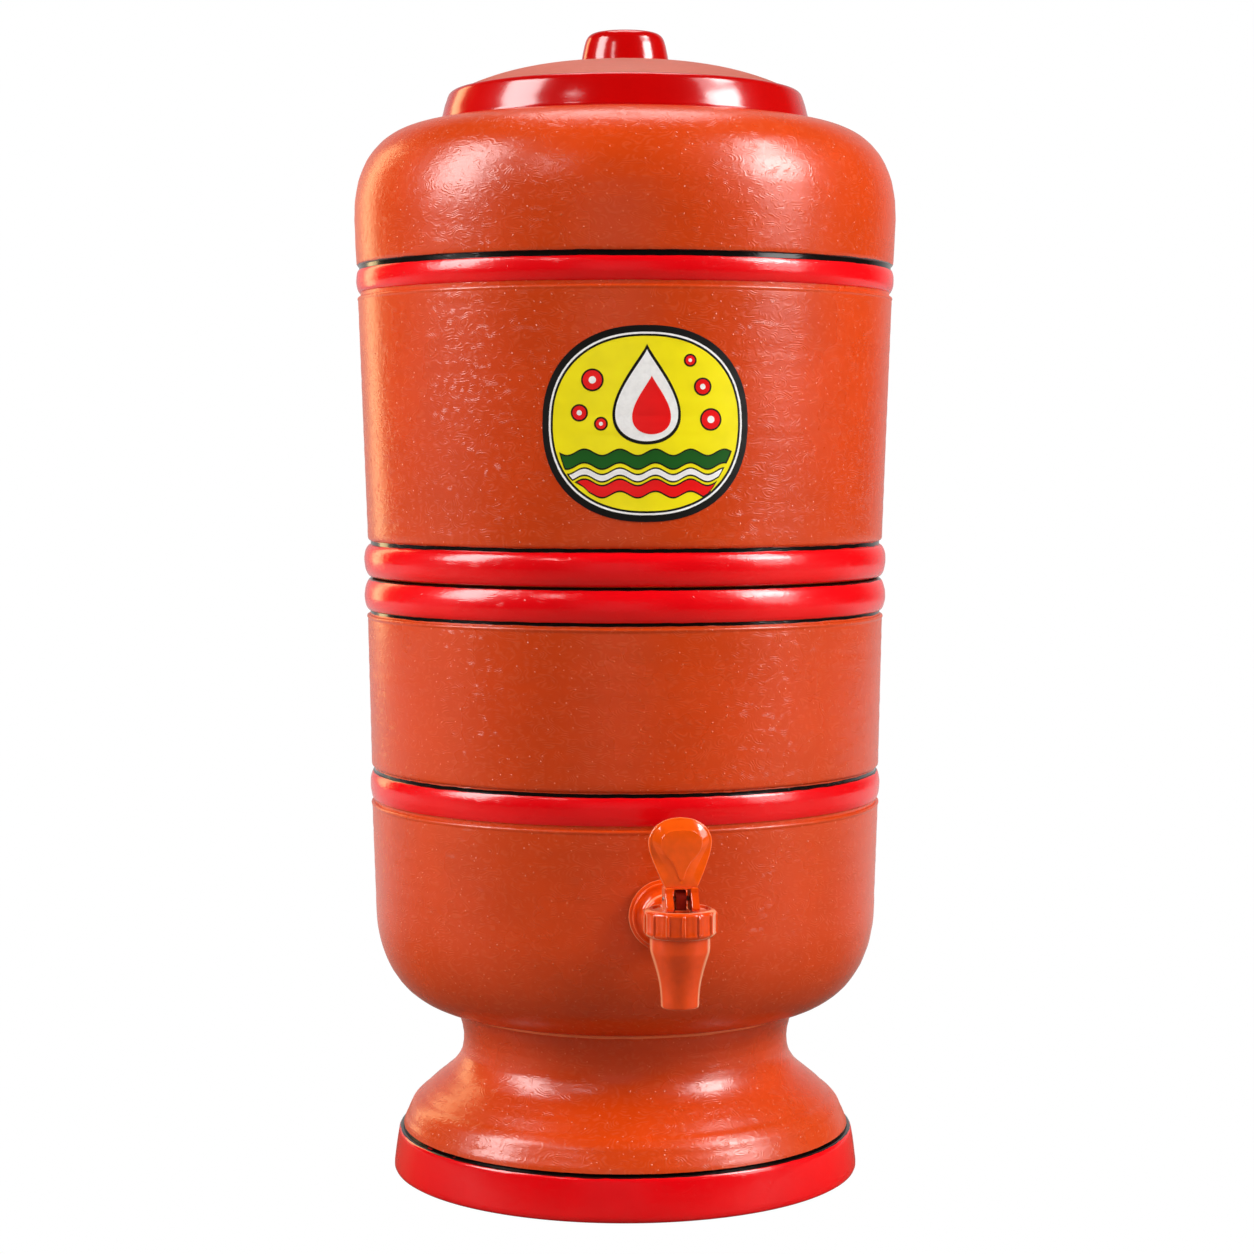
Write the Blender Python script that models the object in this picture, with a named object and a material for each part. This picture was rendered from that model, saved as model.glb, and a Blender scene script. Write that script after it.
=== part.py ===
"""Gravity water filter in fired clay: lid, upper vessel with two candles and their float valves, lower
vessel with a lever tap, and pedestal. Metres, +Z up. It stands on Z = 0 and its tap points to -Y."""

import math

import bmesh
import bpy
import numpy as np

# Fits: the gap between two pieces that touch, and the play of a clay spigot in its socket
GAP = 0.0003
SPIGOT_PLAY = 0.0013

# Steps in a full turn of the clay pieces, the tap's pieces and the small ones
CLAY_STEPS = 32
TAP_STEPS = 20
SMALL_STEPS = 16

# Pedestal
PEDESTAL_HEIGHT = 0.0834
PEDESTAL_LIP_RADIUS = 0.0841
PEDESTAL_WAIST_RADIUS = 0.0820
PEDESTAL_WAIST_DROP = 0.0283
PEDESTAL_SOCKET_RADIUS = 0.0725
PEDESTAL_WALL = 0.0090
BELL_SHOULDER_RADIUS = 0.1082
BELL_SHOULDER_HEIGHT = 0.0354
BELL_RADIUS = 0.1126
FOOT_RING_HEIGHT = 0.0216
FOOT_RING_RADIUS = 0.1150
FOOT_RADIUS = 0.1178

# Clay walls, floors and painted bands
CLAY_WALL = 0.0080
CLAY_FLOOR = 0.0090
GROOVE_WIDTH = 0.0020
PANEL_EDGE = 0.0013
BAND_EDGE_DEPTH = 0.0012

# Lower vessel: heights run up from its underside, radii are of the outer face
LOWER_HEIGHT = 0.2164
LOWER_SPIGOT_DEPTH = 0.0060
LOWER_FLAT_RADIUS = 0.0845
BOWL_RADIUS = 0.1262
BOWL_RISE = 0.0533
BOWL_SQUARENESS = 2.2
TAP_PANEL_TOP_RADIUS = 0.1278
LOW_BAND_HEIGHT = 0.1128
LOW_BAND_WIDTH = 0.0140
LOW_BAND_RADIUS = 0.1285
LOWER_PANEL_FOOT_RADIUS = 0.1278
LOWER_PANEL_TOP_RADIUS = 0.1294
RIM_BAND_WIDTH = 0.0163
RIM_BAND_RADIUS = 0.1309
SEAM_RADIUS = 0.1276

# Upper vessel: heights run up from its underside
UPPER_HEIGHT = 0.2244
UPPER_SPIGOT_DEPTH = 0.0080
UPPER_PANEL_FOOT_RADIUS = 0.1291
UPPER_PANEL_TOP_RADIUS = 0.1334
TOP_BAND_HEIGHT = 0.1468
TOP_BAND_WIDTH = 0.0112
TOP_BAND_RADIUS = 0.1342
SHOULDER_RADIUS = 0.1350
SHOULDER_RISE = 0.0472
SHOULDER_SQUARENESS = 2.4
SHOULDER_FOOT_RADIUS = 0.1340
LID_SEAT_RADIUS = 0.0920
MOUTH_RADIUS = 0.0800

# Lid: heights run up from the underside of its rim
LID_RIM_RADIUS = 0.0922
LID_RIM_TOP_RADIUS = 0.0889
LID_RIM_HEIGHT = 0.0155
LID_DOME_EDGE_RADIUS = 0.0853
LID_DOME_CURVE = 0.2500
LID_WALL = 0.0080
LID_SPIGOT_DEPTH = 0.0070
LID_SPIGOT_WALL = 0.0070
KNOB_FOOT_RADIUS = 0.0223
KNOB_TOP_RADIUS = 0.0204
KNOB_HEIGHT = 0.0150
KNOB_ROUNDING = 0.0050

# Tap: heights run up from the axis of its shank, lengths run from the vessel's wall to its barrel
TAP_HEIGHT = 0.1486
TAP_OVERHANG = 0.0473
SHANK_RADIUS = 0.0080
SHANK_SPARE = 0.0030
WALL_HOLE_PLAY = 0.0006
TAP_WASHER_RADIUS = 0.0155
OUTER_WASHER_THICKNESS = 0.0012
INNER_WASHER_THICKNESS = 0.0020
BACK_NUT_ACROSS_FLATS = 0.0270
BACK_NUT_THICKNESS = 0.0080
FLANGE_RADIUS = 0.0165
FLANGE_RIM_THICKNESS = 0.0019
FLANGE_STEP_RADIUS = 0.0149
FLANGE_STEP_HEIGHT = 0.0012
HUB_RADIUS = 0.0103
HUB_LENGTH = 0.0102
NECK_RADIUS = 0.0058
NECK_DROP = 0.0150
WATERWAY_RADIUS = 0.0034
BARREL_RADIUS = 0.0134
BARREL_TOP = 0.0060
BARREL_FOOT = -0.0085
CHAMBER_RADIUS = 0.0104
CHAMBER_WALL = 0.0024
SEAT_HEIGHT = -0.0175
SEAT_RADIUS = 0.0050
SPOUT_FOOT = -0.0335
SPOUT_RADIUS = 0.0084
SPOUT_KNEE = -0.0248
SPOUT_WALL = 0.0018

# Collar nut
COLLAR_RADIUS = 0.0166
COLLAR_FOOT = -0.0018
COLLAR_TOP = 0.0106
COLLAR_ROOF = 0.0030
COLLAR_RECESS_RADIUS = 0.0128
COLLAR_RECESS_DEPTH = 0.0013
COLLAR_RIBS = 14
COLLAR_RIB_SHARE = 0.16
COLLAR_RIB_DEPTH = 0.0008
COLLAR_RIB_TURN = 0.376
BOSS_HEIGHT = 0.0010
BOSS_LENGTH = 0.0100
BOSS_PLAY = 0.0005

# Lever, stem and pin: heights run up from the pin, the paddle's and thumb pad's from the clevis's top
PIN_RADIUS = 0.0010
FOOT_DROP = 0.0054
CAM_LIFT_PER_RADIAN = 0.0048
LEVER_TRAVEL = math.radians(35)
CLEVIS_WIDTH = 0.0150
CLEVIS_GAP = 0.0076
CLEVIS_DEPTH = 0.0094
CLEVIS_TOP = 0.0058
CLEVIS_ROOF = 0.0014
PADDLE_FOOT_WIDTH = 0.0132
PADDLE_WIDTH = 0.0284
PADDLE_WIDEST_HEIGHT = 0.0197
PADDLE_HEAD_RISE = 0.0111
PADDLE_THICKNESS = 0.0034
PADDLE_BORDER = 0.0015
THUMB_PAD_POINT_HEIGHT = 0.0027
THUMB_PAD_WIDTH = 0.0174
THUMB_PAD_WIDEST_HEIGHT = 0.0188
THUMB_PAD_HEAD_RISE = 0.0066
THUMB_PAD_DEPTH = 0.0017
STEM_RADIUS = 0.0023
STEM_EYE_RADIUS = 0.0040
STEM_END = -0.0143
CUP_SEAT_RADIUS = 0.0070
CUP_WAIST_RADIUS = 0.0040
CUP_LIP_HEIGHT = 0.0010

# Candles
CANDLE_SPACING = 0.1100
CANDLE_RADIUS = 0.0280
CANDLE_LENGTH = 0.1010
CANDLE_WALL = 0.0070
CANDLE_BASE_FLOOR = 0.0033
CANDLE_BASE_RIM_HEIGHT = 0.0110
CANDLE_BASE_RIM_WALL = 0.0015
CANDLE_STEM_RADIUS = 0.0048
CANDLE_STEM_BORE_RADIUS = 0.0025
CANDLE_HOLE_PLAY = 0.0012
TOP_WASHER_RADIUS = 0.0150
TOP_WASHER_THICKNESS = 0.0030
BOTTOM_WASHER_RADIUS = 0.0130
BOTTOM_WASHER_THICKNESS = 0.0025
WING_NUT_RADIUS = 0.0095
WING_NUT_HEIGHT = 0.0080
WING_SPAN = 0.0360
WING_THICKNESS = 0.0030
WING_DIP = 0.0035
WING_TAPER = 0.0025

# Float valves: lengths run from the candle's axis
BRACKET_RADIUS = 0.0082
BRACKET_SOCKET_DEPTH = 0.0130
BRACKET_FLOOR = 0.0036
NOZZLE_RADIUS = 0.0045
NOZZLE_LENGTH = 0.0060
NOZZLE_BORE_RADIUS = 0.0018
EAR_THICKNESS = 0.0028
EAR_REACH = 0.0175
FLOAT_PIN_RADIUS = 0.0010
FLOAT_PIN_REACH = 0.0130
FLOAT_ARM_WIDTH = 0.0076
FLOAT_ARM_THICKNESS = 0.0036
FLOAT_ARM_LENGTH = 0.0500
FLOAT_RADIUS = 0.0170
FLOAT_HEIGHT = 0.0240
FLOAT_SWING = math.radians(22)
PAD_RADIUS = 0.0042
PAD_THICKNESS = 0.0025

# Heights of the stacked pieces above the floor
LOWER_BASE = PEDESTAL_HEIGHT + GAP
SEAM = LOWER_BASE + LOWER_HEIGHT
UPPER_BASE = SEAM + GAP
MOUTH = UPPER_BASE + UPPER_HEIGHT
LID_BASE = MOUTH + GAP


def clear_scene():
    """Remove whatever the file holds."""
    for old in list(bpy.data.objects):
        bpy.data.objects.remove(old, do_unlink=True)


def make_material(name, color, roughness, metallic=0.0):
    """A Principled material of one colour."""
    material = bpy.data.materials.new(name)
    material.use_nodes = True
    shader = material.node_tree.nodes["Principled BSDF"]
    shader.inputs["Base Color"].default_value = (*color, 1.0)
    shader.inputs["Roughness"].default_value = roughness
    shader.inputs["Metallic"].default_value = metallic
    return material


def add_object(name, bm, material, parent, location=(0, 0, 0), rotation=(0, 0, 0)):
    """Turn a bmesh into a named object with smooth round sides and its faces pointing out."""
    bmesh.ops.recalc_face_normals(bm, faces=bm.faces)
    mesh = bpy.data.meshes.new(name)
    bm.to_mesh(mesh)
    bm.free()
    mesh.shade_smooth()
    mesh.set_sharp_from_angle(angle=math.radians(32))
    mesh.materials.append(material)
    piece = bpy.data.objects.new(name, mesh)
    bpy.context.scene.collection.objects.link(piece)
    piece.parent = parent
    piece.location = location
    piece.rotation_euler = rotation
    return piece


def add_empty(name, parent=None, location=(0, 0, 0), rotation=(0, 0, 0)):
    """An axis that pieces hang from."""
    empty = bpy.data.objects.new(name, None)
    empty.empty_display_size = 0.02
    bpy.context.scene.collection.objects.link(empty)
    empty.parent = parent
    empty.location = location
    empty.rotation_euler = rotation
    return empty


def combine(piece, operation, bm, name, location=(0, 0, 0), rotation=(0, 0, 0)):
    """Join a helper shape to a piece or cut it out. The helper is placed in the piece's own frame."""
    helper = add_object(name, bm, piece.data.materials[0], piece, location, rotation)
    helper.hide_render = True
    helper.display_type = "WIRE"
    boolean = piece.modifiers.new(name, "BOOLEAN")
    boolean.operation = operation
    boolean.solver = "EXACT"
    boolean.object = helper
    return helper


def turned(profile, steps, closed=False):
    """Turn a profile of (radius, height) points about Z. A closed profile is a ring with a bore."""
    bm = bmesh.new()
    rings = []
    for radius, height in profile:
        if radius == 0:
            rings.append([bm.verts.new((0, 0, height))] * steps)
            continue
        ring = []
        for step in range(steps):
            angle = 2 * math.pi * step / steps
            ring.append(bm.verts.new((radius * math.cos(angle), radius * math.sin(angle), height)))
        rings.append(ring)
    pairs = list(zip(rings, rings[1:]))
    if closed:
        pairs.append((rings[-1], rings[0]))
    for lower, upper in pairs:
        for step in range(steps):
            after = (step + 1) % steps
            corners = [lower[step], lower[after], upper[after], upper[step]]
            bm.faces.new(list(dict.fromkeys(corners)))
    return bm


def lofted(rings):
    """Skin a stack of rings of 3-D points, all with as many points, and cap both ends."""
    bm = bmesh.new()
    loops = [[bm.verts.new(point) for point in ring] for ring in rings]
    for lower, upper in zip(loops, loops[1:]):
        for index in range(len(lower)):
            after = (index + 1) % len(lower)
            bm.faces.new([lower[index], lower[after], upper[after], upper[index]])
    bm.faces.new(loops[0])
    bm.faces.new(loops[-1])
    return bm


def extruded_along_x(outline, half_width):
    """Extrude an outline of (y, z) points to both sides of X = 0."""
    return lofted([[(side * half_width, y, z) for y, z in outline] for side in (-1, 1)])


def box(low, high):
    """A plain box between two corners."""
    corners = ((low[0], low[1]), (high[0], low[1]), (high[0], high[1]), (low[0], high[1]))
    return lofted([[(x, y, z) for x, y in corners] for z in (low[2], high[2])])


def rod(radius, low, high, steps):
    """A plain cylinder along Z."""
    return turned([(0, low), (radius, low), (radius, high), (0, high)], steps)


def rounded(corners, steps=3):
    """Round the corners of a path. Each corner is (radius, height, rounding)."""
    path = []
    for index, (r, z, rounding) in enumerate(corners):
        if rounding == 0:
            path.append((r, z))
            continue
        here = np.array((r, z))
        to_last = np.array(corners[index - 1][:2]) - here
        to_next = np.array(corners[(index + 1) % len(corners)][:2]) - here
        to_last = to_last / np.linalg.norm(to_last)
        to_next = to_next / np.linalg.norm(to_next)
        half_angle = math.acos(np.clip(to_last @ to_next, -1, 1)) / 2
        middle = (to_last + to_next) / np.linalg.norm(to_last + to_next)
        centre = here + middle * rounding / math.sin(half_angle)
        start = here + to_last * rounding / math.tan(half_angle) - centre
        end = here + to_next * rounding / math.tan(half_angle) - centre
        sweep = math.pi - 2 * half_angle
        for step in range(steps + 1):
            share = step / steps
            blend = start * math.sin((1 - share) * sweep) + end * math.sin(share * sweep)
            path.append(tuple(float(v) for v in centre + blend / math.sin(sweep)))
    return path


def swell(centre, width, height, squareness, steps, start=0, end=90):
    """Part of a squared ellipse from the side at 0 degrees to the top at 90."""
    points = []
    for step in range(steps + 1):
        angle = math.radians(start + (end - start) * step / steps)
        across = math.cos(angle) ** (2 / squareness) if angle < math.pi / 2 else 0.0
        along = math.sin(angle) ** (2 / squareness) if angle > 0 else 0.0
        points.append((centre[0] + width * across, centre[1] + height * along))
    return points


def band(low, high, crest_radius, steps=5):
    """A rounded raised band between two (radius, height) points."""
    points = []
    for step in range(steps + 1):
        angle = math.pi * step / steps
        share = (1 - math.cos(angle)) / 2
        base = low[0] + (high[0] - low[0]) * share
        middle = (low[0] + high[0]) / 2
        height = low[1] + (high[1] - low[1]) * share
        points.append((base + (crest_radius - middle) * math.sin(angle), height))
    return points


def panel(foot, top):
    """A plain wall between two grooves, with softened edges."""
    soft = PANEL_EDGE * 0.7
    return [
        (foot[0] - soft, foot[1]),
        (foot[0], foot[1] + PANEL_EDGE),
        (top[0], top[1] - PANEL_EDGE),
        (top[0] - soft, top[1]),
    ]


def radius_at(profile, height):
    """Radius of a rising profile at a height."""
    heights = [z for r, z in profile]
    return float(np.interp(height, heights, [r for r, z in profile]))


# Profiles of the clay pieces


def pedestal_profile():
    """Spool with a concave neck, a bell and a foot ring, open from top to bottom."""
    waist = PEDESTAL_HEIGHT - PEDESTAL_WAIST_DROP
    foot_inside = FOOT_RADIUS - 1.3 * PEDESTAL_WALL
    outer = rounded(
        [
            (foot_inside, 0.0, 0),
            (FOOT_RADIUS, 0.0, 0.0010),
            (FOOT_RING_RADIUS, FOOT_RING_HEIGHT, 0.0020),
            (BELL_RADIUS, FOOT_RING_HEIGHT, 0),
            (BELL_SHOULDER_RADIUS, BELL_SHOULDER_HEIGHT, 0.0250),
            (PEDESTAL_WAIST_RADIUS, waist, 0.0250),
            (PEDESTAL_LIP_RADIUS, PEDESTAL_HEIGHT, 0),
        ]
    )
    inner = [
        (PEDESTAL_SOCKET_RADIUS, PEDESTAL_HEIGHT),
        (PEDESTAL_SOCKET_RADIUS, waist),
        (BELL_SHOULDER_RADIUS - 1.2 * PEDESTAL_WALL, BELL_SHOULDER_HEIGHT - PEDESTAL_WALL),
        (foot_inside, 0.3 * BELL_SHOULDER_HEIGHT),
    ]
    return outer + inner


def lower_wall():
    """Outer face of the lower vessel, from its flat underside up to the seam."""
    bowl = swell(
        (LOWER_FLAT_RADIUS, LOWER_BASE + BOWL_RISE),
        BOWL_RADIUS - LOWER_FLAT_RADIUS,
        -BOWL_RISE,
        BOWL_SQUARENESS,
        7,
    )
    band_low = LOWER_BASE + LOW_BAND_HEIGHT - LOW_BAND_WIDTH / 2
    band_high = LOWER_BASE + LOW_BAND_HEIGHT + LOW_BAND_WIDTH / 2
    rim_low = SEAM - RIM_BAND_WIDTH
    tap_panel_edge = TAP_PANEL_TOP_RADIUS - PANEL_EDGE * 0.7
    return (
        bowl[::-1]
        + [
            (TAP_PANEL_TOP_RADIUS, band_low - GROOVE_WIDTH - PANEL_EDGE),
            (tap_panel_edge, band_low - GROOVE_WIDTH),
        ]
        + band(
            (TAP_PANEL_TOP_RADIUS - BAND_EDGE_DEPTH, band_low),
            (LOWER_PANEL_FOOT_RADIUS - BAND_EDGE_DEPTH, band_high),
            LOW_BAND_RADIUS,
            4,
        )
        + panel(
            (LOWER_PANEL_FOOT_RADIUS, band_high + GROOVE_WIDTH),
            (LOWER_PANEL_TOP_RADIUS, rim_low - GROOVE_WIDTH),
        )
        + band((LOWER_PANEL_TOP_RADIUS - BAND_EDGE_DEPTH, rim_low), (SEAM_RADIUS, SEAM), RIM_BAND_RADIUS)
    )


def lower_inside():
    """Inner face of the lower vessel, from the edge of its floor up to its mouth."""
    floor = LOWER_BASE + CLAY_FLOOR
    bowl = swell(
        (LOWER_FLAT_RADIUS, LOWER_BASE + BOWL_RISE),
        BOWL_RADIUS - CLAY_WALL - LOWER_FLAT_RADIUS,
        floor - LOWER_BASE - BOWL_RISE,
        BOWL_SQUARENESS,
        4,
    )
    panel_top = LOWER_PANEL_TOP_RADIUS - CLAY_WALL
    return bowl[::-1] + [
        (panel_top, SEAM - RIM_BAND_WIDTH),
        (SEAM_RADIUS - CLAY_WALL, SEAM - RIM_BAND_WIDTH / 2),
        (SEAM_RADIUS - CLAY_WALL, SEAM),
    ]


def lower_profile():
    """Whole section of the lower vessel, from the middle of its foot to the middle of its floor."""
    spigot_radius = PEDESTAL_SOCKET_RADIUS - SPIGOT_PLAY
    spigot_foot = LOWER_BASE - LOWER_SPIGOT_DEPTH
    foot = [(0, spigot_foot), (spigot_radius, spigot_foot), (spigot_radius, LOWER_BASE)]
    floor = spigot_foot + CLAY_FLOOR
    return foot + lower_wall() + lower_inside()[::-1] + [(spigot_radius - CLAY_FLOOR, floor), (0, floor)]


def upper_profile():
    """Whole section of the upper vessel, from the middle of its underside to the middle of its floor."""
    spigot_radius = SEAM_RADIUS - CLAY_WALL - SPIGOT_PLAY
    spigot_foot = UPPER_BASE - UPPER_SPIGOT_DEPTH
    rim_high = UPPER_BASE + RIM_BAND_WIDTH
    band_low = UPPER_BASE + TOP_BAND_HEIGHT - TOP_BAND_WIDTH / 2
    band_high = UPPER_BASE + TOP_BAND_HEIGHT + TOP_BAND_WIDTH / 2
    shoulder = (LID_SEAT_RADIUS, MOUTH - SHOULDER_RISE)
    shoulder_width = SHOULDER_RADIUS - LID_SEAT_RADIUS
    wall = (
        band(
            (SEAM_RADIUS, UPPER_BASE),
            (UPPER_PANEL_FOOT_RADIUS - BAND_EDGE_DEPTH, rim_high),
            RIM_BAND_RADIUS,
        )
        + panel(
            (UPPER_PANEL_FOOT_RADIUS, rim_high + GROOVE_WIDTH),
            (UPPER_PANEL_TOP_RADIUS, band_low - GROOVE_WIDTH),
        )
        + band(
            (UPPER_PANEL_TOP_RADIUS - BAND_EDGE_DEPTH, band_low),
            (SHOULDER_FOOT_RADIUS - BAND_EDGE_DEPTH, band_high),
            TOP_BAND_RADIUS,
            4,
        )
        + [
            (SHOULDER_FOOT_RADIUS - PANEL_EDGE * 0.7, band_high + GROOVE_WIDTH),
            (SHOULDER_FOOT_RADIUS, band_high + GROOVE_WIDTH + PANEL_EDGE),
        ]
        + swell(shoulder, shoulder_width, SHOULDER_RISE, SHOULDER_SQUARENESS, 7)
    )
    floor = spigot_foot + CLAY_FLOOR
    inner_radius = UPPER_PANEL_FOOT_RADIUS - CLAY_WALL
    inside = swell(
        shoulder, shoulder_width - CLAY_WALL, SHOULDER_RISE - CLAY_WALL, SHOULDER_SQUARENESS, 4
    )
    return (
        [(0, spigot_foot), (spigot_radius, spigot_foot), (spigot_radius, UPPER_BASE)]
        + wall
        + [(MOUTH_RADIUS, MOUTH), (MOUTH_RADIUS, MOUTH - CLAY_WALL)]
        + inside[::-1]
        + [
            (inner_radius, floor + CLAY_FLOOR),
            (inner_radius - CLAY_FLOOR, floor),
            (0, floor),
        ]
    )


def lid_profile():
    """Section of the lid: knob, dome, rim, locating ring and hollow underside."""
    rim_top = LID_BASE + LID_RIM_HEIGHT
    dome_centre = rim_top - math.sqrt(LID_DOME_CURVE**2 - LID_DOME_EDGE_RADIUS**2)
    dome_apex = dome_centre + LID_DOME_CURVE
    knob_top = dome_apex + KNOB_HEIGHT

    def dome(radius, depth=0.0):
        return (radius, dome_centre + math.sqrt((LID_DOME_CURVE - depth) ** 2 - radius**2))

    spigot_radius = MOUTH_RADIUS - SPIGOT_PLAY
    spigot_foot = LID_BASE - LID_SPIGOT_DEPTH
    hollow_radius = spigot_radius - LID_SPIGOT_WALL
    foot_height = dome(KNOB_FOOT_RADIUS)[1]
    knob = rounded(
        [
            (0, knob_top, 0),
            (KNOB_TOP_RADIUS, knob_top, KNOB_ROUNDING),
            (KNOB_FOOT_RADIUS, foot_height, 0),
        ]
    )
    dome_share = [0.25, 0.6, 1.0]
    dome_width = LID_DOME_EDGE_RADIUS - KNOB_FOOT_RADIUS
    over = [dome(KNOB_FOOT_RADIUS + dome_width * share) for share in dome_share]
    rim = rounded(
        [
            (LID_DOME_EDGE_RADIUS, rim_top, 0),
            (LID_RIM_TOP_RADIUS, rim_top, 0.0030),
            (LID_RIM_RADIUS, LID_BASE, 0.0008),
            (spigot_radius, LID_BASE, 0),
        ]
    )
    ring = [
        (spigot_radius, spigot_foot),
        (hollow_radius, spigot_foot),
    ]
    under = [dome(hollow_radius * share, LID_WALL) for share in (1.0, 0.6)]
    return knob + over + rim[1:] + ring + under + [(0, dome_centre + LID_DOME_CURVE - LID_WALL)]


# Clay pieces


def build_clay(axis, clay):
    """Pedestal, lower vessel, upper vessel and lid on one axis."""
    add_object("pedestal", turned(pedestal_profile(), CLAY_STEPS, closed=True), clay, axis)
    lower = add_object("lower_vessel", turned(lower_profile(), CLAY_STEPS), clay, axis)
    hole = rod(SHANK_RADIUS + WALL_HOLE_PLAY, -2 * CLAY_WALL, 2 * CLAY_WALL, TAP_STEPS)
    wall_radius = radius_at(lower_wall(), TAP_HEIGHT)
    combine(
        lower, "DIFFERENCE", hole, "tap_hole_cutter", (0, -wall_radius, TAP_HEIGHT), (math.pi / 2, 0, 0)
    )
    upper = add_object("upper_vessel", turned(upper_profile(), CLAY_STEPS), clay, axis)
    for side, name in ((-1, "candle_hole_cutter_1"), (1, "candle_hole_cutter_2")):
        stem_hole = rod(
            CANDLE_STEM_RADIUS + CANDLE_HOLE_PLAY, -2 * CLAY_FLOOR, 2 * CLAY_FLOOR, SMALL_STEPS
        )
        place = (side * CANDLE_SPACING / 2, 0, UPPER_BASE)
        combine(upper, "DIFFERENCE", stem_hole, name, place, (0, 0, math.pi / SMALL_STEPS))
    add_object("lid", turned(lid_profile(), CLAY_STEPS), clay, axis)


# Tap


def build_tap_body(tap, plastic):
    """One moulding: spout and barrel, sloping neck, hub, flange and threaded shank, with its waterway."""
    barrel = rounded(
        [
            (0, BARREL_TOP, 0),
            (BARREL_RADIUS, BARREL_TOP, 0),
            (BARREL_RADIUS, BARREL_FOOT, 0.0060),
            (SPOUT_RADIUS + 0.0005, SPOUT_KNEE, 0.0180),
            (SPOUT_RADIUS, SPOUT_FOOT, 0.0006),
            (0, SPOUT_FOOT, 0),
        ]
    )
    body = add_object("tap_body", turned(barrel, TAP_STEPS), plastic, tap)

    wall = TAP_OVERHANG
    back = wall - 2 * GAP - OUTER_WASHER_THICKNESS
    front = back - FLANGE_RIM_THICKNESS
    step = front - FLANGE_STEP_HEIGHT
    shank_end = wall + CLAY_WALL + INNER_WASHER_THICKNESS + BACK_NUT_THICKNESS + SHANK_SPARE
    hub_end = back - HUB_LENGTH
    flange = rounded(
        [
            (0, hub_end, 0),
            (HUB_RADIUS, hub_end, 0.0012),
            (HUB_RADIUS, step + 0.0004, 0.0026),
            (FLANGE_STEP_RADIUS - 0.0010, step, 0),
            (FLANGE_STEP_RADIUS, step + 0.0003, 0),
            (FLANGE_STEP_RADIUS, front, 0),
            (FLANGE_RADIUS - 0.0006, front, 0),
            (FLANGE_RADIUS, front + 0.0006, 0),
            (FLANGE_RADIUS, back, 0),
            (SHANK_RADIUS, back, 0),
            (SHANK_RADIUS, shank_end, 0),
            (0, shank_end, 0),
        ],
        steps=2,
    )
    combine(body, "UNION", turned(flange, TAP_STEPS), "flange_shape", rotation=(-math.pi / 2, 0, 0))
    neck_start = hub_end + 0.0030
    neck_length = math.hypot(neck_start, NECK_DROP)
    tilt = math.atan2(NECK_DROP, neck_start)
    neck = rod(NECK_RADIUS, 0, neck_length, SMALL_STEPS)
    slope = (math.pi / 2 + tilt, 0, 0)
    combine(body, "UNION", neck, "neck_shape", (0, neck_start, 0), slope)
    spare = 0.0010
    bore_radius = SPOUT_RADIUS - SPOUT_WALL
    chamber = [
        (0, SPOUT_FOOT - spare),
        (bore_radius, SPOUT_FOOT - spare),
        (bore_radius, SEAT_HEIGHT - 2 * SPOUT_WALL),
        (SEAT_RADIUS, SEAT_HEIGHT - SPOUT_WALL),
        (SEAT_RADIUS, SEAT_HEIGHT),
        (CUP_SEAT_RADIUS + spare, SEAT_HEIGHT),
        (CHAMBER_RADIUS, BARREL_FOOT - CHAMBER_WALL),
        (CHAMBER_RADIUS, BARREL_TOP + spare),
        (0, BARREL_TOP + spare),
    ]
    combine(body, "DIFFERENCE", turned(chamber, TAP_STEPS), "chamber_cutter")
    waterway = rod(WATERWAY_RADIUS, 0, neck_length - CUP_SEAT_RADIUS, SMALL_STEPS)
    combine(body, "DIFFERENCE", waterway, "neck_waterway_cutter", (0, neck_start, 0), slope)
    inlet = rod(WATERWAY_RADIUS, neck_start - WATERWAY_RADIUS, shank_end + 0.001, SMALL_STEPS)
    combine(body, "DIFFERENCE", inlet, "shank_waterway_cutter", rotation=(-math.pi / 2, 0, 0))
    return shank_end


def build_washers(tap, wall_radius, rubber):
    """Two soft washers, each flat on one face and pressed to the round wall on the other."""
    reach = wall_radius + TAP_OVERHANG
    inner_wall = lower_inside()
    facet = math.cos(math.pi / CLAY_STEPS)

    def outer_face(x, z):
        radius = radius_at(lower_wall(), TAP_HEIGHT + z) + GAP
        return reach - math.sqrt(radius**2 - x**2)

    def inner_face(x, z):
        radius = radius_at(inner_wall, TAP_HEIGHT + z) * facet - GAP
        return reach - math.sqrt(radius**2 - x**2)

    inside = max(inner_face(0, z) for z in (-TAP_WASHER_RADIUS, 0, TAP_WASHER_RADIUS))
    side = inner_face(TAP_WASHER_RADIUS, -TAP_WASHER_RADIUS)
    inner_flat = max(inside, side) + INNER_WASHER_THICKNESS
    outer_flat = TAP_OVERHANG - GAP - OUTER_WASHER_THICKNESS
    for name, flat, curved in (
        ("tap_outer_washer", outer_flat, outer_face),
        ("tap_inner_washer", inner_flat, inner_face),
    ):
        rings = []
        for radius, face in (
            (SHANK_RADIUS + GAP, None),
            (TAP_WASHER_RADIUS, None),
            (TAP_WASHER_RADIUS, curved),
            (SHANK_RADIUS + GAP, curved),
        ):
            ring = []
            for step in range(TAP_STEPS):
                angle = 2 * math.pi * step / TAP_STEPS
                x = radius * math.cos(angle)
                z = radius * math.sin(angle)
                ring.append((x, face(x, z) if face else flat, z))
            rings.append(ring)
        add_object(name, ring_of(rings), rubber, tap)
    return inner_flat


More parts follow.
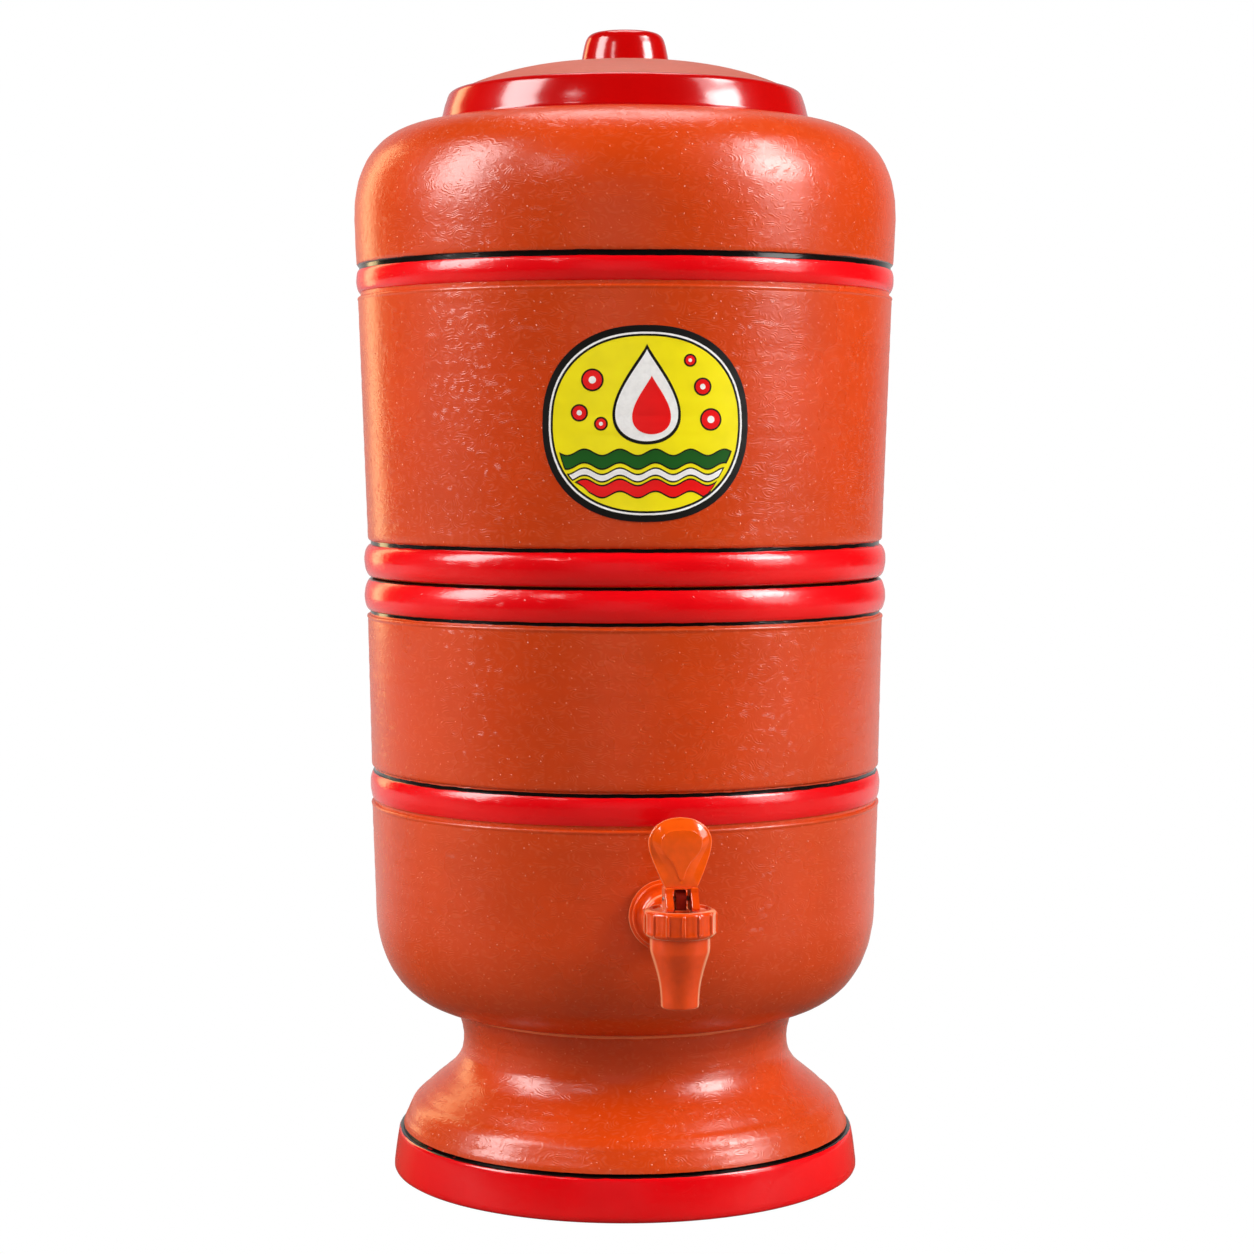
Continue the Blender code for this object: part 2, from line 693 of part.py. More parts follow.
def ring_of(rings):
    """Skin a closed chain of rings of 3-D points into a ring-shaped body."""
    bm = bmesh.new()
    loops = [[bm.verts.new(point) for point in ring] for ring in rings]
    for lower, upper in zip(loops, loops[1:] + loops[:1]):
        for index in range(len(lower)):
            after = (index + 1) % len(lower)
            bm.faces.new([lower[index], lower[after], upper[after], upper[index]])
    return bm


def build_back_nut(tap, washer_flat, plastic):
    """Hexagon nut on the shank inside the lower vessel."""
    corner_radius = BACK_NUT_ACROSS_FLATS / 2 / math.cos(math.pi / 6)
    start = washer_flat + GAP
    nut = add_object(
        "tap_back_nut",
        rod(corner_radius, start, start + BACK_NUT_THICKNESS, 6),
        plastic,
        tap,
        rotation=(-math.pi / 2, 0, 0),
    )
    bore = rod(SHANK_RADIUS + GAP, start - 0.002, start + BACK_NUT_THICKNESS + 0.002, TAP_STEPS)
    combine(nut, "DIFFERENCE", bore, "back_nut_bore_cutter")


def build_collar_nut(tap, plastic):
    """Bonnet nut: ribbed skirt, rounded top with a shallow recess, and a boss that guides the stem."""
    rib_top = COLLAR_TOP - 0.0027
    rows = [
        (COLLAR_FOOT, 0.0017, 0.0),
        (COLLAR_FOOT + 0.0012, 0.0010, 0.0002),
        (COLLAR_FOOT + 0.0020, 0.0, COLLAR_RIB_DEPTH),
        (rib_top, 0.0, COLLAR_RIB_DEPTH),
        (COLLAR_TOP - 0.0010, 0.0007, 0.0005),
        (COLLAR_TOP, 0.0023, 0.0),
    ]
    pitch = 2 * math.pi / COLLAR_RIBS
    rings = []
    for height, inset, groove in rows:
        ring = []
        for rib in range(COLLAR_RIBS):
            for place, depth in (
                (-COLLAR_RIB_SHARE / 2, 0.0),
                (COLLAR_RIB_SHARE / 2, 0.0),
                (COLLAR_RIB_SHARE / 2 + 0.06, groove),
                (1 - COLLAR_RIB_SHARE / 2 - 0.06, groove),
            ):
                angle = (rib + COLLAR_RIB_TURN + place) * pitch
                radius = COLLAR_RADIUS - inset - depth
                ring.append((radius * math.cos(angle), radius * math.sin(angle), height))
        rings.append(ring)
    collar = add_object("tap_collar_nut", lofted(rings), plastic, tap)
    roof = COLLAR_TOP - COLLAR_RECESS_DEPTH
    recess = rod(COLLAR_RECESS_RADIUS, roof, COLLAR_TOP + 0.002, TAP_STEPS)
    combine(collar, "DIFFERENCE", recess, "collar_recess_cutter")
    boss_width = CLEVIS_GAP - 2 * BOSS_PLAY
    boss = box(
        (-boss_width / 2, -BOSS_LENGTH / 2, roof - 0.001),
        (boss_width / 2, BOSS_LENGTH / 2, roof + BOSS_HEIGHT),
    )
    combine(collar, "UNION", boss, "collar_boss_shape")
    cavity = rod(BARREL_RADIUS + GAP, COLLAR_FOOT - 0.002, BARREL_TOP + GAP, TAP_STEPS)
    combine(collar, "DIFFERENCE", cavity, "collar_thread_cutter")
    stem_hole = rod(STEM_RADIUS + GAP, 0, COLLAR_TOP + 0.004, SMALL_STEPS)
    combine(collar, "DIFFERENCE", stem_hole, "collar_stem_cutter")
    return roof


def cam_outline():
    """Side view of the clevis as (y, z) points from the pin. Its foot lifts the pin evenly as it rolls."""
    start_height = FOOT_DROP
    cam = []
    steps = 6
    for step in range(steps + 1):
        turn = LEVER_TRAVEL * 1.08 * step / steps
        height = start_height + CAM_LIFT_PER_RADIAN * turn
        down = (-math.sin(turn), -math.cos(turn))
        forward = (-math.cos(turn), math.sin(turn))
        cam.append(
            (
                height * down[0] + CAM_LIFT_PER_RADIAN * forward[0],
                height * down[1] + CAM_LIFT_PER_RADIAN * forward[1],
            )
        )
    nose = cam[-1]
    half = CLEVIS_DEPTH / 2
    return cam + [
        (nose[0] + 0.0005, nose[1] + 0.0016),
        (-half, CLEVIS_TOP - 0.0028),
        (-half, CLEVIS_TOP),
        (half, CLEVIS_TOP),
        (half, 0.0010 - FOOT_DROP),
        (half - 0.0010, -FOOT_DROP),
    ]


def drop_outline(head, foot, y):
    """Outline of a drop. head is its half width, its rise and its height, foot its half width and height."""
    half, rise, height = head
    foot_half, foot_height = foot
    foot_drop = (foot_height - height) * half / rise
    reach = math.hypot(foot_half, foot_drop)
    tangent = math.atan2(foot_drop, foot_half) + math.acos(half / reach)
    steps = 14
    points = [(foot_half, y, foot_height)]
    for step in range(steps + 1):
        angle = tangent + (math.pi - 2 * tangent) * step / steps
        points.append((half * math.cos(angle), y, height + rise * math.sin(angle)))
    points.append((-foot_half, y, foot_height))
    return points


def paddle_outline(inset, y):
    """Outline of the paddle's plate, drawn in from its edge by inset."""
    head = (PADDLE_WIDTH / 2 - inset, PADDLE_HEAD_RISE - inset, CLEVIS_TOP + PADDLE_WIDEST_HEIGHT)
    return drop_outline(head, (PADDLE_FOOT_WIDTH / 2 - inset, CLEVIS_TOP - 0.0004 + inset), y)


def build_lever(tap, pin_height, plastic, steel):
    """Lever with a raised thumb pad on its paddle and a clevis, on its pin."""
    lever = add_object(
        "tap_lever", extruded_along_x(cam_outline(), CLEVIS_WIDTH / 2), plastic, tap, (0, 0, pin_height)
    )
    back = PADDLE_THICKNESS * 0.6
    front = back - PADDLE_THICKNESS
    thumb_pad = drop_outline(
        (THUMB_PAD_WIDTH / 2, THUMB_PAD_HEAD_RISE, CLEVIS_TOP + THUMB_PAD_WIDEST_HEIGHT),
        (0.0004, CLEVIS_TOP + THUMB_PAD_POINT_HEIGHT),
        front - THUMB_PAD_DEPTH,
    )
    paddle = lofted(
        [
            paddle_outline(0.0006, back),
            paddle_outline(0.0, back - 0.0006),
            paddle_outline(0.0, front + 0.0005),
            paddle_outline(0.0005, front),
            paddle_outline(PADDLE_BORDER, front),
            thumb_pad,
        ]
    )
    combine(lever, "UNION", paddle, "paddle_shape")
    slot = box(
        (-CLEVIS_GAP / 2, -0.020, -0.020), (CLEVIS_GAP / 2, 0.020, CLEVIS_TOP - CLEVIS_ROOF)
    )
    combine(lever, "DIFFERENCE", slot, "clevis_slot_cutter")
    pin_hole = rod(PIN_RADIUS + GAP, -CLEVIS_WIDTH, CLEVIS_WIDTH, 12)
    combine(lever, "DIFFERENCE", pin_hole, "lever_pin_cutter", rotation=(0, math.pi / 2, 0))
    half_pin = CLEVIS_WIDTH / 2 + GAP
    add_object(
        "tap_pivot_pin",
        rod(PIN_RADIUS, -half_pin, half_pin, 12),
        steel,
        tap,
        (0, 0, pin_height),
        (0, math.pi / 2, 0),
    )


def build_stem(tap, pin_height, plastic, silicone):
    """Stem with an eye for the pin, and the silicone seat cup on its lower end."""
    eye_foot = COLLAR_TOP - COLLAR_RECESS_DEPTH + BOSS_HEIGHT + GAP - pin_height
    eye = [(-STEM_EYE_RADIUS, eye_foot)]
    for step in range(9):
        angle = math.pi * (1 - step / 8)
        eye.append((STEM_EYE_RADIUS * math.cos(angle), STEM_EYE_RADIUS * math.sin(angle)))
    eye.append((STEM_EYE_RADIUS, eye_foot))
    stem = add_object(
        "tap_stem", extruded_along_x(eye, STEM_RADIUS), plastic, tap, (0, 0, pin_height)
    )
    shaft = rod(STEM_RADIUS, STEM_END - pin_height, eye_foot + 0.0010, SMALL_STEPS)
    combine(stem, "UNION", shaft, "stem_shaft_shape")
    pin_hole = rod(PIN_RADIUS + GAP, -2 * STEM_RADIUS, 2 * STEM_RADIUS, 12)
    combine(stem, "DIFFERENCE", pin_hole, "stem_pin_cutter", rotation=(0, math.pi / 2, 0))

    seat = SEAT_HEIGHT + GAP
    lip_radius = CHAMBER_RADIUS * math.cos(math.pi / TAP_STEPS) - GAP
    nose_radius = SEAT_RADIUS - 2 * GAP
    cup = [
        (0, seat - 0.0018),
        (nose_radius - 0.0010, seat - 0.0014),
        (nose_radius, seat),
        (CUP_SEAT_RADIUS, seat),
        (CUP_SEAT_RADIUS, seat + 0.0014),
        (CUP_WAIST_RADIUS, seat + 0.0032),
        (CUP_WAIST_RADIUS, CUP_LIP_HEIGHT - 0.0075),
        (lip_radius, CUP_LIP_HEIGHT - 0.0015),
        (lip_radius, CUP_LIP_HEIGHT),
        (lip_radius - 0.0010, CUP_LIP_HEIGHT),
        (STEM_RADIUS + GAP, CUP_LIP_HEIGHT - 0.0055),
        (STEM_RADIUS + GAP, STEM_END - GAP),
        (0, STEM_END - GAP),
    ]
    add_object("tap_seat_cup", turned(cup, SMALL_STEPS), silicone, tap)


def build_tap(axis, colors):
    """The whole tap on its barrel's axis."""
    wall_radius = radius_at(lower_wall(), TAP_HEIGHT)
    tap = add_empty("tap_axis", axis, (0, -wall_radius - TAP_OVERHANG, TAP_HEIGHT))
    build_tap_body(tap, colors["plastic"])
    washer_flat = build_washers(tap, wall_radius, colors["rubber"])
    build_back_nut(tap, washer_flat, colors["plastic"])
    roof = build_collar_nut(tap, colors["plastic"])
    pin_height = roof + GAP + FOOT_DROP
    build_lever(tap, pin_height, colors["plastic"], colors["steel"])
    build_stem(tap, pin_height, colors["dark_plastic"], colors["silicone"])


# Candles and float valves


def washer(inner, outer, low, high, steps=SMALL_STEPS):
    """A plain ring."""
    return turned([(inner, low), (outer, low), (outer, high), (inner, high)], steps, closed=True)


def build_candle(number, kit, colors):
    """Ceramic candle on the upper vessel's floor, with its washers and wing nut."""
    floor_top = UPPER_BASE - UPPER_SPIGOT_DEPTH + CLAY_FLOOR
    floor_under = UPPER_BASE - UPPER_SPIGOT_DEPTH
    hole = CANDLE_STEM_RADIUS + GAP
    top_washer = floor_top + GAP
    base = top_washer + TOP_WASHER_THICKNESS + GAP
    base_top = base + CANDLE_BASE_FLOOR
    bottom_washer = floor_under - GAP - BOTTOM_WASHER_THICKNESS
    nut_top = bottom_washer - GAP
    nut_foot = nut_top - WING_NUT_HEIGHT
    stem_end = nut_foot - GAP - BRACKET_SOCKET_DEPTH
    rim_inner = CANDLE_RADIUS + GAP
    rim_outer = rim_inner + CANDLE_BASE_RIM_WALL
    rim_top = base + CANDLE_BASE_RIM_HEIGHT
    add_object(
        f"candle_top_washer_{number}",
        washer(hole, TOP_WASHER_RADIUS, top_washer, top_washer + TOP_WASHER_THICKNESS),
        colors["rubber"],
        kit,
    )
    add_object(
        f"candle_bottom_washer_{number}",
        washer(hole, BOTTOM_WASHER_RADIUS, bottom_washer, bottom_washer + BOTTOM_WASHER_THICKNESS),
        colors["rubber"],
        kit,
    )
    base_profile = [
        (CANDLE_STEM_BORE_RADIUS, stem_end),
        (CANDLE_STEM_RADIUS, stem_end),
        (CANDLE_STEM_RADIUS, base),
        (rim_outer - 0.002, base),
        (rim_outer, base + 0.002),
        (rim_outer, rim_top),
        (rim_inner, rim_top),
        (rim_inner, base_top),
        (CANDLE_STEM_BORE_RADIUS, base_top),
    ]
    add_object(
        f"candle_base_{number}", turned(base_profile, SMALL_STEPS, closed=True), colors["white_plastic"], kit
    )
    foot = base_top + GAP
    spring_line = foot + CANDLE_LENGTH - CANDLE_RADIUS
    hollow_radius = CANDLE_RADIUS - CANDLE_WALL
    dome = swell((0, spring_line), CANDLE_RADIUS, CANDLE_RADIUS, 2.0, 4)
    hollow = swell((0, spring_line), hollow_radius, hollow_radius, 2.0, 3)
    shell = [(hollow_radius, foot), (CANDLE_RADIUS, foot)] + dome[:-1] + [(0, dome[-1][1])]
    shell = shell[::-1] + hollow[:-1] + [(0, hollow[-1][1])]
    add_object(f"candle_shell_{number}", candle_shell(shell), colors["ceramic"], kit)
    add_object(
        f"candle_carbon_{number}",
        rod(hollow_radius - GAP, foot, spring_line, SMALL_STEPS),
        colors["carbon"],
        kit,
    )
    nut = add_object(
        f"candle_wing_nut_{number}",
        rod(WING_NUT_RADIUS, nut_foot, nut_top, SMALL_STEPS),
        colors["white_plastic"],
        kit,
    )
    wings = extruded_along_x(
        [
            (-WING_SPAN / 2, nut_foot + 0.0005),
            (WING_SPAN / 2, nut_foot + 0.0005),
            (WING_SPAN / 2 - WING_TAPER, nut_top - 0.0010),
            (WING_NUT_RADIUS, nut_top - WING_DIP),
            (-WING_NUT_RADIUS, nut_top - WING_DIP),
            (WING_TAPER - WING_SPAN / 2, nut_top - 0.0010),
        ],
        WING_THICKNESS / 2,
    )
    combine(nut, "UNION", wings, f"wings_shape_{number}")
    bore = rod(hole, nut_foot - 0.002, nut_top + 0.002, SMALL_STEPS)
    combine(nut, "DIFFERENCE", bore, f"wing_nut_bore_cutter_{number}")
    return nut_foot, stem_end


def candle_shell(outline):
    """Thimble of ceramic, open at its foot: the outline runs from the outer apex to the inner one."""
    return turned(outline, SMALL_STEPS)


def build_float(number, kit, top, stem_end, colors):
    """Valve body on the candle's stem, and the arm whose float shuts it."""
    bracket_top = top - GAP
    socket_floor = stem_end - GAP
    bracket_foot = socket_floor - BRACKET_FLOOR
    nozzle_foot = bracket_foot - NOZZLE_LENGTH
    socket_radius = CANDLE_STEM_RADIUS + GAP
    body = [
        (socket_radius, bracket_top),
        (BRACKET_RADIUS, bracket_top),
        (BRACKET_RADIUS, bracket_foot),
        (NOZZLE_RADIUS, bracket_foot),
        (NOZZLE_RADIUS, nozzle_foot),
        (NOZZLE_BORE_RADIUS, nozzle_foot),
        (NOZZLE_BORE_RADIUS, socket_floor),
        (socket_radius, socket_floor),
    ]
    bracket = add_object(
        f"float_bracket_{number}", turned(body, SMALL_STEPS, closed=True), colors["white_plastic"], kit
    )
    arm_top = nozzle_foot - GAP - PAD_THICKNESS + 0.0010
    pin_z = arm_top - FLOAT_ARM_THICKNESS / 2
    ear_inner = FLOAT_ARM_WIDTH / 2 + GAP
    ear_outer = ear_inner + EAR_THICKNESS
    ear_outline = [
        (BRACKET_RADIUS - 0.0035, bracket_foot - 0.0010),
        (FLOAT_PIN_REACH - 0.0035, pin_z - 0.0035),
        (EAR_REACH, pin_z - 0.0035),
        (EAR_REACH, bracket_foot + 0.0040),
        (BRACKET_RADIUS - 0.0035, bracket_foot + 0.0040),
    ]
    ears = extruded_along_x(ear_outline, ear_outer)
    combine(bracket, "UNION", ears, f"ears_shape_{number}")
    tail = EAR_REACH - FLOAT_PIN_REACH
    tail_top = pin_z + tail * math.sin(FLOAT_SWING) + FLOAT_ARM_THICKNESS / 2 * math.cos(FLOAT_SWING)
    slot_front = NOZZLE_RADIUS + 2 * GAP
    slot = box((-ear_inner, slot_front, pin_z - 0.010), (ear_inner, EAR_REACH + 0.010, tail_top + GAP))
    combine(bracket, "DIFFERENCE", slot, f"ear_slot_cutter_{number}")
    ear_hole = rod(FLOAT_PIN_RADIUS + GAP, -2 * ear_outer, 2 * ear_outer, 12)
    pivot = (0, FLOAT_PIN_REACH, pin_z)
    combine(bracket, "DIFFERENCE", ear_hole, f"ear_pin_cutter_{number}", pivot, (0, math.pi / 2, 0))

    hinge = add_empty(f"float_hinge_{number}", kit, pivot, (FLOAT_SWING, 0, 0))
    half = FLOAT_ARM_THICKNESS / 2
    float_y = -FLOAT_PIN_REACH - FLOAT_ARM_LENGTH
    bar = box((-FLOAT_ARM_WIDTH / 2, float_y, -half), (FLOAT_ARM_WIDTH / 2, tail, half))
    arm = add_object(f"float_arm_{number}", bar, colors["blue_plastic"], hinge)
    soft = 0.003
    can = turned(
        [
            (0, half - FLOAT_HEIGHT),
            (FLOAT_RADIUS - soft, half - FLOAT_HEIGHT),
            (FLOAT_RADIUS, half - FLOAT_HEIGHT + soft),
            (FLOAT_RADIUS, half + 0.001 - soft),
            (FLOAT_RADIUS - soft, half + 0.001),
            (0, half + 0.001),
        ],
        SMALL_STEPS,
    )
    combine(arm, "UNION", can, f"float_can_shape_{number}", (0, float_y, 0))
    arm_hole = rod(FLOAT_PIN_RADIUS + GAP, -FLOAT_ARM_WIDTH, FLOAT_ARM_WIDTH, 12)
    combine(arm, "DIFFERENCE", arm_hole, f"arm_pin_cutter_{number}", rotation=(0, math.pi / 2, 0))
    pocket = rod(PAD_RADIUS + GAP, half - 0.0010 - GAP, half + 0.002, SMALL_STEPS)
    combine(arm, "DIFFERENCE", pocket, f"pad_pocket_cutter_{number}", (0, -FLOAT_PIN_REACH, 0))
    add_object(
        f"float_pad_{number}",
        rod(PAD_RADIUS, half - 0.0010, half - 0.0010 + PAD_THICKNESS, SMALL_STEPS),
        colors["rubber"],
        hinge,
        (0, -FLOAT_PIN_REACH, 0),
    )
    add_object(
        f"float_pin_{number}",
        rod(FLOAT_PIN_RADIUS, -ear_outer - GAP, ear_outer + GAP, 12),
        colors["steel"],
        kit,
        pivot,
        (0, math.pi / 2, 0),
    )


def build_kits(axis, colors):
    """Two candle and float kits, turned to opposite sides."""
    for number, side in ((1, -1), (2, 1)):
        turn = 0 if side < 0 else math.pi
        kit = add_empty(f"candle_axis_{number}", axis, (side * CANDLE_SPACING / 2, 0, 0), (0, 0, turn))
        nut_foot, stem_end = build_candle(number, kit, colors)
        build_float(number, kit, nut_foot, stem_end, colors)


def main():
    clear_scene()
    colors = {
        "clay": make_material("fired_clay", (0.58, 0.10, 0.025), 0.45),
        "plastic": make_material("orange_plastic", (0.62, 0.09, 0.02), 0.25),
        "dark_plastic": make_material("dark_red_plastic", (0.10, 0.012, 0.006), 0.35),
        "white_plastic": make_material("white_plastic", (0.80, 0.80, 0.78), 0.40),
        "blue_plastic": make_material("blue_plastic", (0.05, 0.18, 0.50), 0.40),
        "ceramic": make_material("white_ceramic", (0.85, 0.82, 0.76), 0.85),
        "carbon": make_material("carbon", (0.02, 0.02, 0.02), 0.95),
        "rubber": make_material("black_rubber", (0.02, 0.02, 0.02), 0.80),
        "silicone": make_material("silicone", (0.75, 0.75, 0.72), 0.50),
        "steel": make_material("steel", (0.70, 0.70, 0.70), 0.30, 1.0),
    }
    reach = radius_at(lower_wall(), TAP_HEIGHT) + TAP_OVERHANG + COLLAR_RADIUS
    axis = add_empty("filter_axis", location=(0, (reach - SHOULDER_RADIUS) / 2, 0))
    build_clay(axis, colors["clay"])
    build_tap(axis, colors)
    build_kits(axis, colors)


main()
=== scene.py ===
"""A fired clay water filter with a lever tap, dressed as it looks new: satin terracotta, glossy red
bands with black lines beside them, and a moulded orange tap. Shapes are set out in mm and built in
metres."""

import math

import bmesh
import bpy
import numpy as np
from mathutils import Matrix, Vector


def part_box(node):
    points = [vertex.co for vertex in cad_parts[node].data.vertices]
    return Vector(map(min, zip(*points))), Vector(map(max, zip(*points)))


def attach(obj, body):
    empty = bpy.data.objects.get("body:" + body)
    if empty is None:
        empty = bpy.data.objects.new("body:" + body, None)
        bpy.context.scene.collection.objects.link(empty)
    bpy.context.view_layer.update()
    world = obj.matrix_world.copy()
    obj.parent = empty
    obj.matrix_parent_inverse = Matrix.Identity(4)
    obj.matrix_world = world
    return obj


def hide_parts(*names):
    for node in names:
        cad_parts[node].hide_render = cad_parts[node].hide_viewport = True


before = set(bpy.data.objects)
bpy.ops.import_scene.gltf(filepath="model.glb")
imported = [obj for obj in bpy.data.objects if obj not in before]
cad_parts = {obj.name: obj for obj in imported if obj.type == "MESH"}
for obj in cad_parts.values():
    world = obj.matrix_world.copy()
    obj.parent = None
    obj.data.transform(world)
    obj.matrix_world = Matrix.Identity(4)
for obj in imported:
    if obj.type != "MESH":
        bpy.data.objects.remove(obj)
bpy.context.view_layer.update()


# Camera and light
# The picture is a studio shot from a little left of the tap, on pure white. Tall soft boxes at the
# upper right and left make the long highlights, and small ones the crown's and the lever's. The fills
# in front and low at the sides light the clay and don't show in its gloss.

vessel_low, vessel_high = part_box("upper_vessel")
axis_y = (vessel_low[1] + vessel_high[1]) / 2
camera_turn = math.radians(8.2)
camera_tilt = math.radians(3.72)
camera_distance = 1.4307
camera_height = 0.3673
camera_aside = 0.0010
lamp_aim_height = 0.29

camera = bpy.data.cameras.new("camera")
camera.lens = 81.33
camera.sensor_width = 36
camera_object = bpy.data.objects.new("camera", camera)
bpy.context.scene.collection.objects.link(camera_object)
camera_object.location = (
    -camera_distance * math.sin(camera_turn) + camera_aside * math.cos(camera_turn),
    axis_y - camera_distance * math.cos(camera_turn) - camera_aside * math.sin(camera_turn),
    camera_height,
)
camera_object.rotation_euler = (math.pi / 2 - camera_tilt, 0, -camera_turn)
bpy.context.scene.camera = camera_object
bpy.context.scene.view_settings.view_transform = "Standard"


def soft_box(name, turn, rise, distance, width, height, power, warmth=0.0, mirrored=True):
    """An area lamp that looks at the middle of the filter. turn is in degrees from the camera's side,
    to its right, and rise is in degrees up. A lamp that isn't mirrored stays out of reflections."""
    lamp = bpy.data.lights.new(name, "AREA")
    lamp.shape = "RECTANGLE"
    lamp.size = width
    lamp.size_y = height
    lamp.energy = power
    lamp.color = (1, 1 - 0.4 * warmth, 1 - warmth)
    lamp_object = bpy.data.objects.new(name, lamp)
    lamp_object.visible_glossy = mirrored
    bpy.context.scene.collection.objects.link(lamp_object)
    angle = math.radians(turn) - camera_turn
    level = math.radians(rise)
    away = Vector((math.sin(angle) * math.cos(level), -math.cos(angle) * math.cos(level), math.sin(level)))
    lamp_object.location = Vector((0, axis_y, lamp_aim_height)) + distance * away
    lamp_object.rotation_euler = (-away).to_track_quat("-Z", "Y").to_euler()


soft_box("soft_box_right", 67, 28, 2.2, 0.80, 2.0, 23)
soft_box("top_box_right", 68, 31, 2.2, 0.80, 0.55, 23)
soft_box("crown_box_right", 75, 47, 2.2, 0.50, 0.45, 9)
soft_box("soft_box_left", -74, 30, 2.2, 0.84, 1.45, 44)
soft_box("glint_box_left", -34, 34, 2.2, 0.28, 0.32, 2.4)
soft_box("front_fill", -4, 2, 2.2, 1.2, 1.2, 8, mirrored=False)
soft_box("front_box_right", 38, 12, 2.2, 0.30, 0.30, 2.0, mirrored=False)
soft_box("low_fill_right", 84, -4, 1.5, 1.0, 0.6, 3.5, mirrored=False)
soft_box("low_fill_left", -90, -4, 1.5, 1.0, 0.6, 5.5, mirrored=False)
soft_box("overhead_box", 180, 70, 1.9, 0.9, 0.9, 9)
soft_box("rim_light_right", 128, 14, 2.2, 1.0, 1.5, 4, warmth=0.4, mirrored=False)
soft_box("rim_light_left", -136, 14, 2.2, 0.45, 1.5, 7.5, warmth=0.65)


def node(holder, kind, sockets=None, **settings):
    """Add a shader node. sockets gives inputs a number, a colour or the output that feeds them."""
    made = holder.node_tree.nodes.new(kind)
    for name, value in settings.items():
        setattr(made, name, value)
    for name, value in (sockets or {}).items():
        if isinstance(value, bpy.types.NodeSocket):
            holder.node_tree.links.new(value, made.inputs[name])
        else:
            made.inputs[name].default_value = value
    return made


def math_node(holder, operation, first, second=0.0):
    """One step of arithmetic between two numbers or outputs."""
    return node(holder, "ShaderNodeMath", {0: first, 1: second}, operation=operation).outputs[0]


def remapped(holder, value, low, high, to_low=0.0, to_high=1.0):
    """Spread the range from low to high over another range, and stop at its ends."""
    sockets = {"Value": value, "From Min": low, "From Max": high, "To Min": to_low, "To Max": to_high}
    return node(holder, "ShaderNodeMapRange", sockets).outputs[0]


def white_share(holder, place, near, far, most):
    """How white the studio is: all white to the camera, and in gloss and metal white only behind the
    filter, where it rises to most from near to far along the camera's way."""
    rays = node(holder, "ShaderNodeLightPath").outputs
    camera_way = (math.sin(camera_turn), math.cos(camera_turn), 0)
    behind = node(holder, "ShaderNodeVectorMath", {0: place, 1: camera_way}, operation="DOT_PRODUCT")
    white_behind = remapped(holder, behind.outputs["Value"], near, far, 0.0, most)
    mirrored = math_node(holder, "MULTIPLY", rays["Is Glossy Ray"], white_behind)
    return math_node(holder, "MAXIMUM", rays["Is Camera Ray"], mirrored)


def choose(holder, share, first, second, output):
    """Show the second shader where share is 1 and the first where it is 0."""
    choice = node(holder, "ShaderNodeMixShader", {0: share, 1: first.outputs[0], 2: second.outputs[0]})
    holder.node_tree.links.new(choice.outputs[0], holder.node_tree.nodes[output].inputs["Surface"])


world = bpy.data.worlds.new("studio")
bpy.context.scene.world = world
world.use_nodes = True
backdrop = world.node_tree.nodes["Background"]
backdrop.inputs["Color"].default_value = (1, 1, 1, 1)
backdrop.inputs["Strength"].default_value = 1.0
studio_fill = node(world, "ShaderNodeBackground", {"Color": (1, 0.7, 0.5, 1), "Strength": 0.03})
sky_direction = node(world, "ShaderNodeTexCoord").outputs["Generated"]
backdrop_share = white_share(world, sky_direction, 0.62, 0.92, 0.5)
choose(world, backdrop_share, studio_fill, backdrop, "World Output")


# Floor
# A white table that burns out to pure white in the picture, so that no edge or shadow shows. Its top
# still throws a little warm light back on the pedestal.

table_half = 3
table_drop = 0.0004
floor_mesh = bpy.data.meshes.new("floor")
floor_corners = [(x * table_half, y * table_half, 0) for x, y in ((-1, -1), (1, -1), (1, 1), (-1, 1))]
floor_mesh.from_pydata(floor_corners, [], [(0, 1, 2, 3)])
floor = bpy.data.objects.new("floor", floor_mesh)
bpy.context.scene.collection.objects.link(floor)
floor.location = (0, 0, -table_drop)
floor_white = bpy.data.materials.new("white_table")
floor_white.use_nodes = True
table_top = floor_white.node_tree.nodes["Principled BSDF"]
table_top.inputs["Base Color"].default_value = (0.17, 0.13, 0.09, 1)
table_top.inputs["Roughness"].default_value = 0.7
burnt_out = node(floor_white, "ShaderNodeEmission", {"Color": (1, 1, 1, 1)})
floor_place = node(floor_white, "ShaderNodeNewGeometry").outputs["Position"]
floor_share = white_share(floor_white, floor_place, 0.10, 0.60, 0.6)
choose(floor_white, floor_share, table_top, burnt_out, "Material Output")
floor_mesh.materials.append(floor_white)


# Fired clay and its paint
# Every clay piece is turned on the wheel, brushed with a satin terracotta slip and painted in the
# grooves and on the bands. The brush leaves short wavy strokes, and grit stands up as small pale dots.
# The strokes are also tinted paler in the colour, as a painted highlight along them.

terracotta = (0.640, 0.051, 0.0022, 1)
band_red = (0.840, 0.0006, 0.0045, 1)
line_black = (0.004, 0.003, 0.003, 1)


def noise(holder, place, scale, detail, roughness=0.5, distortion=0.0):
    """Soft random blotches from 0 to 1."""
    sockets = {"Vector": place, "Scale": scale, "Detail": detail}
    sockets |= {"Roughness": roughness, "Distortion": distortion}
    return node(holder, "ShaderNodeTexNoise", sockets).outputs[0]


def mixed(holder, share, first, second, blend="MIX"):
    """Blend two colours."""
    sockets = {0: share, 6: first, 7: second}
    return node(holder, "ShaderNodeMix", sockets, data_type="RGBA", blend_type=blend).outputs[2]


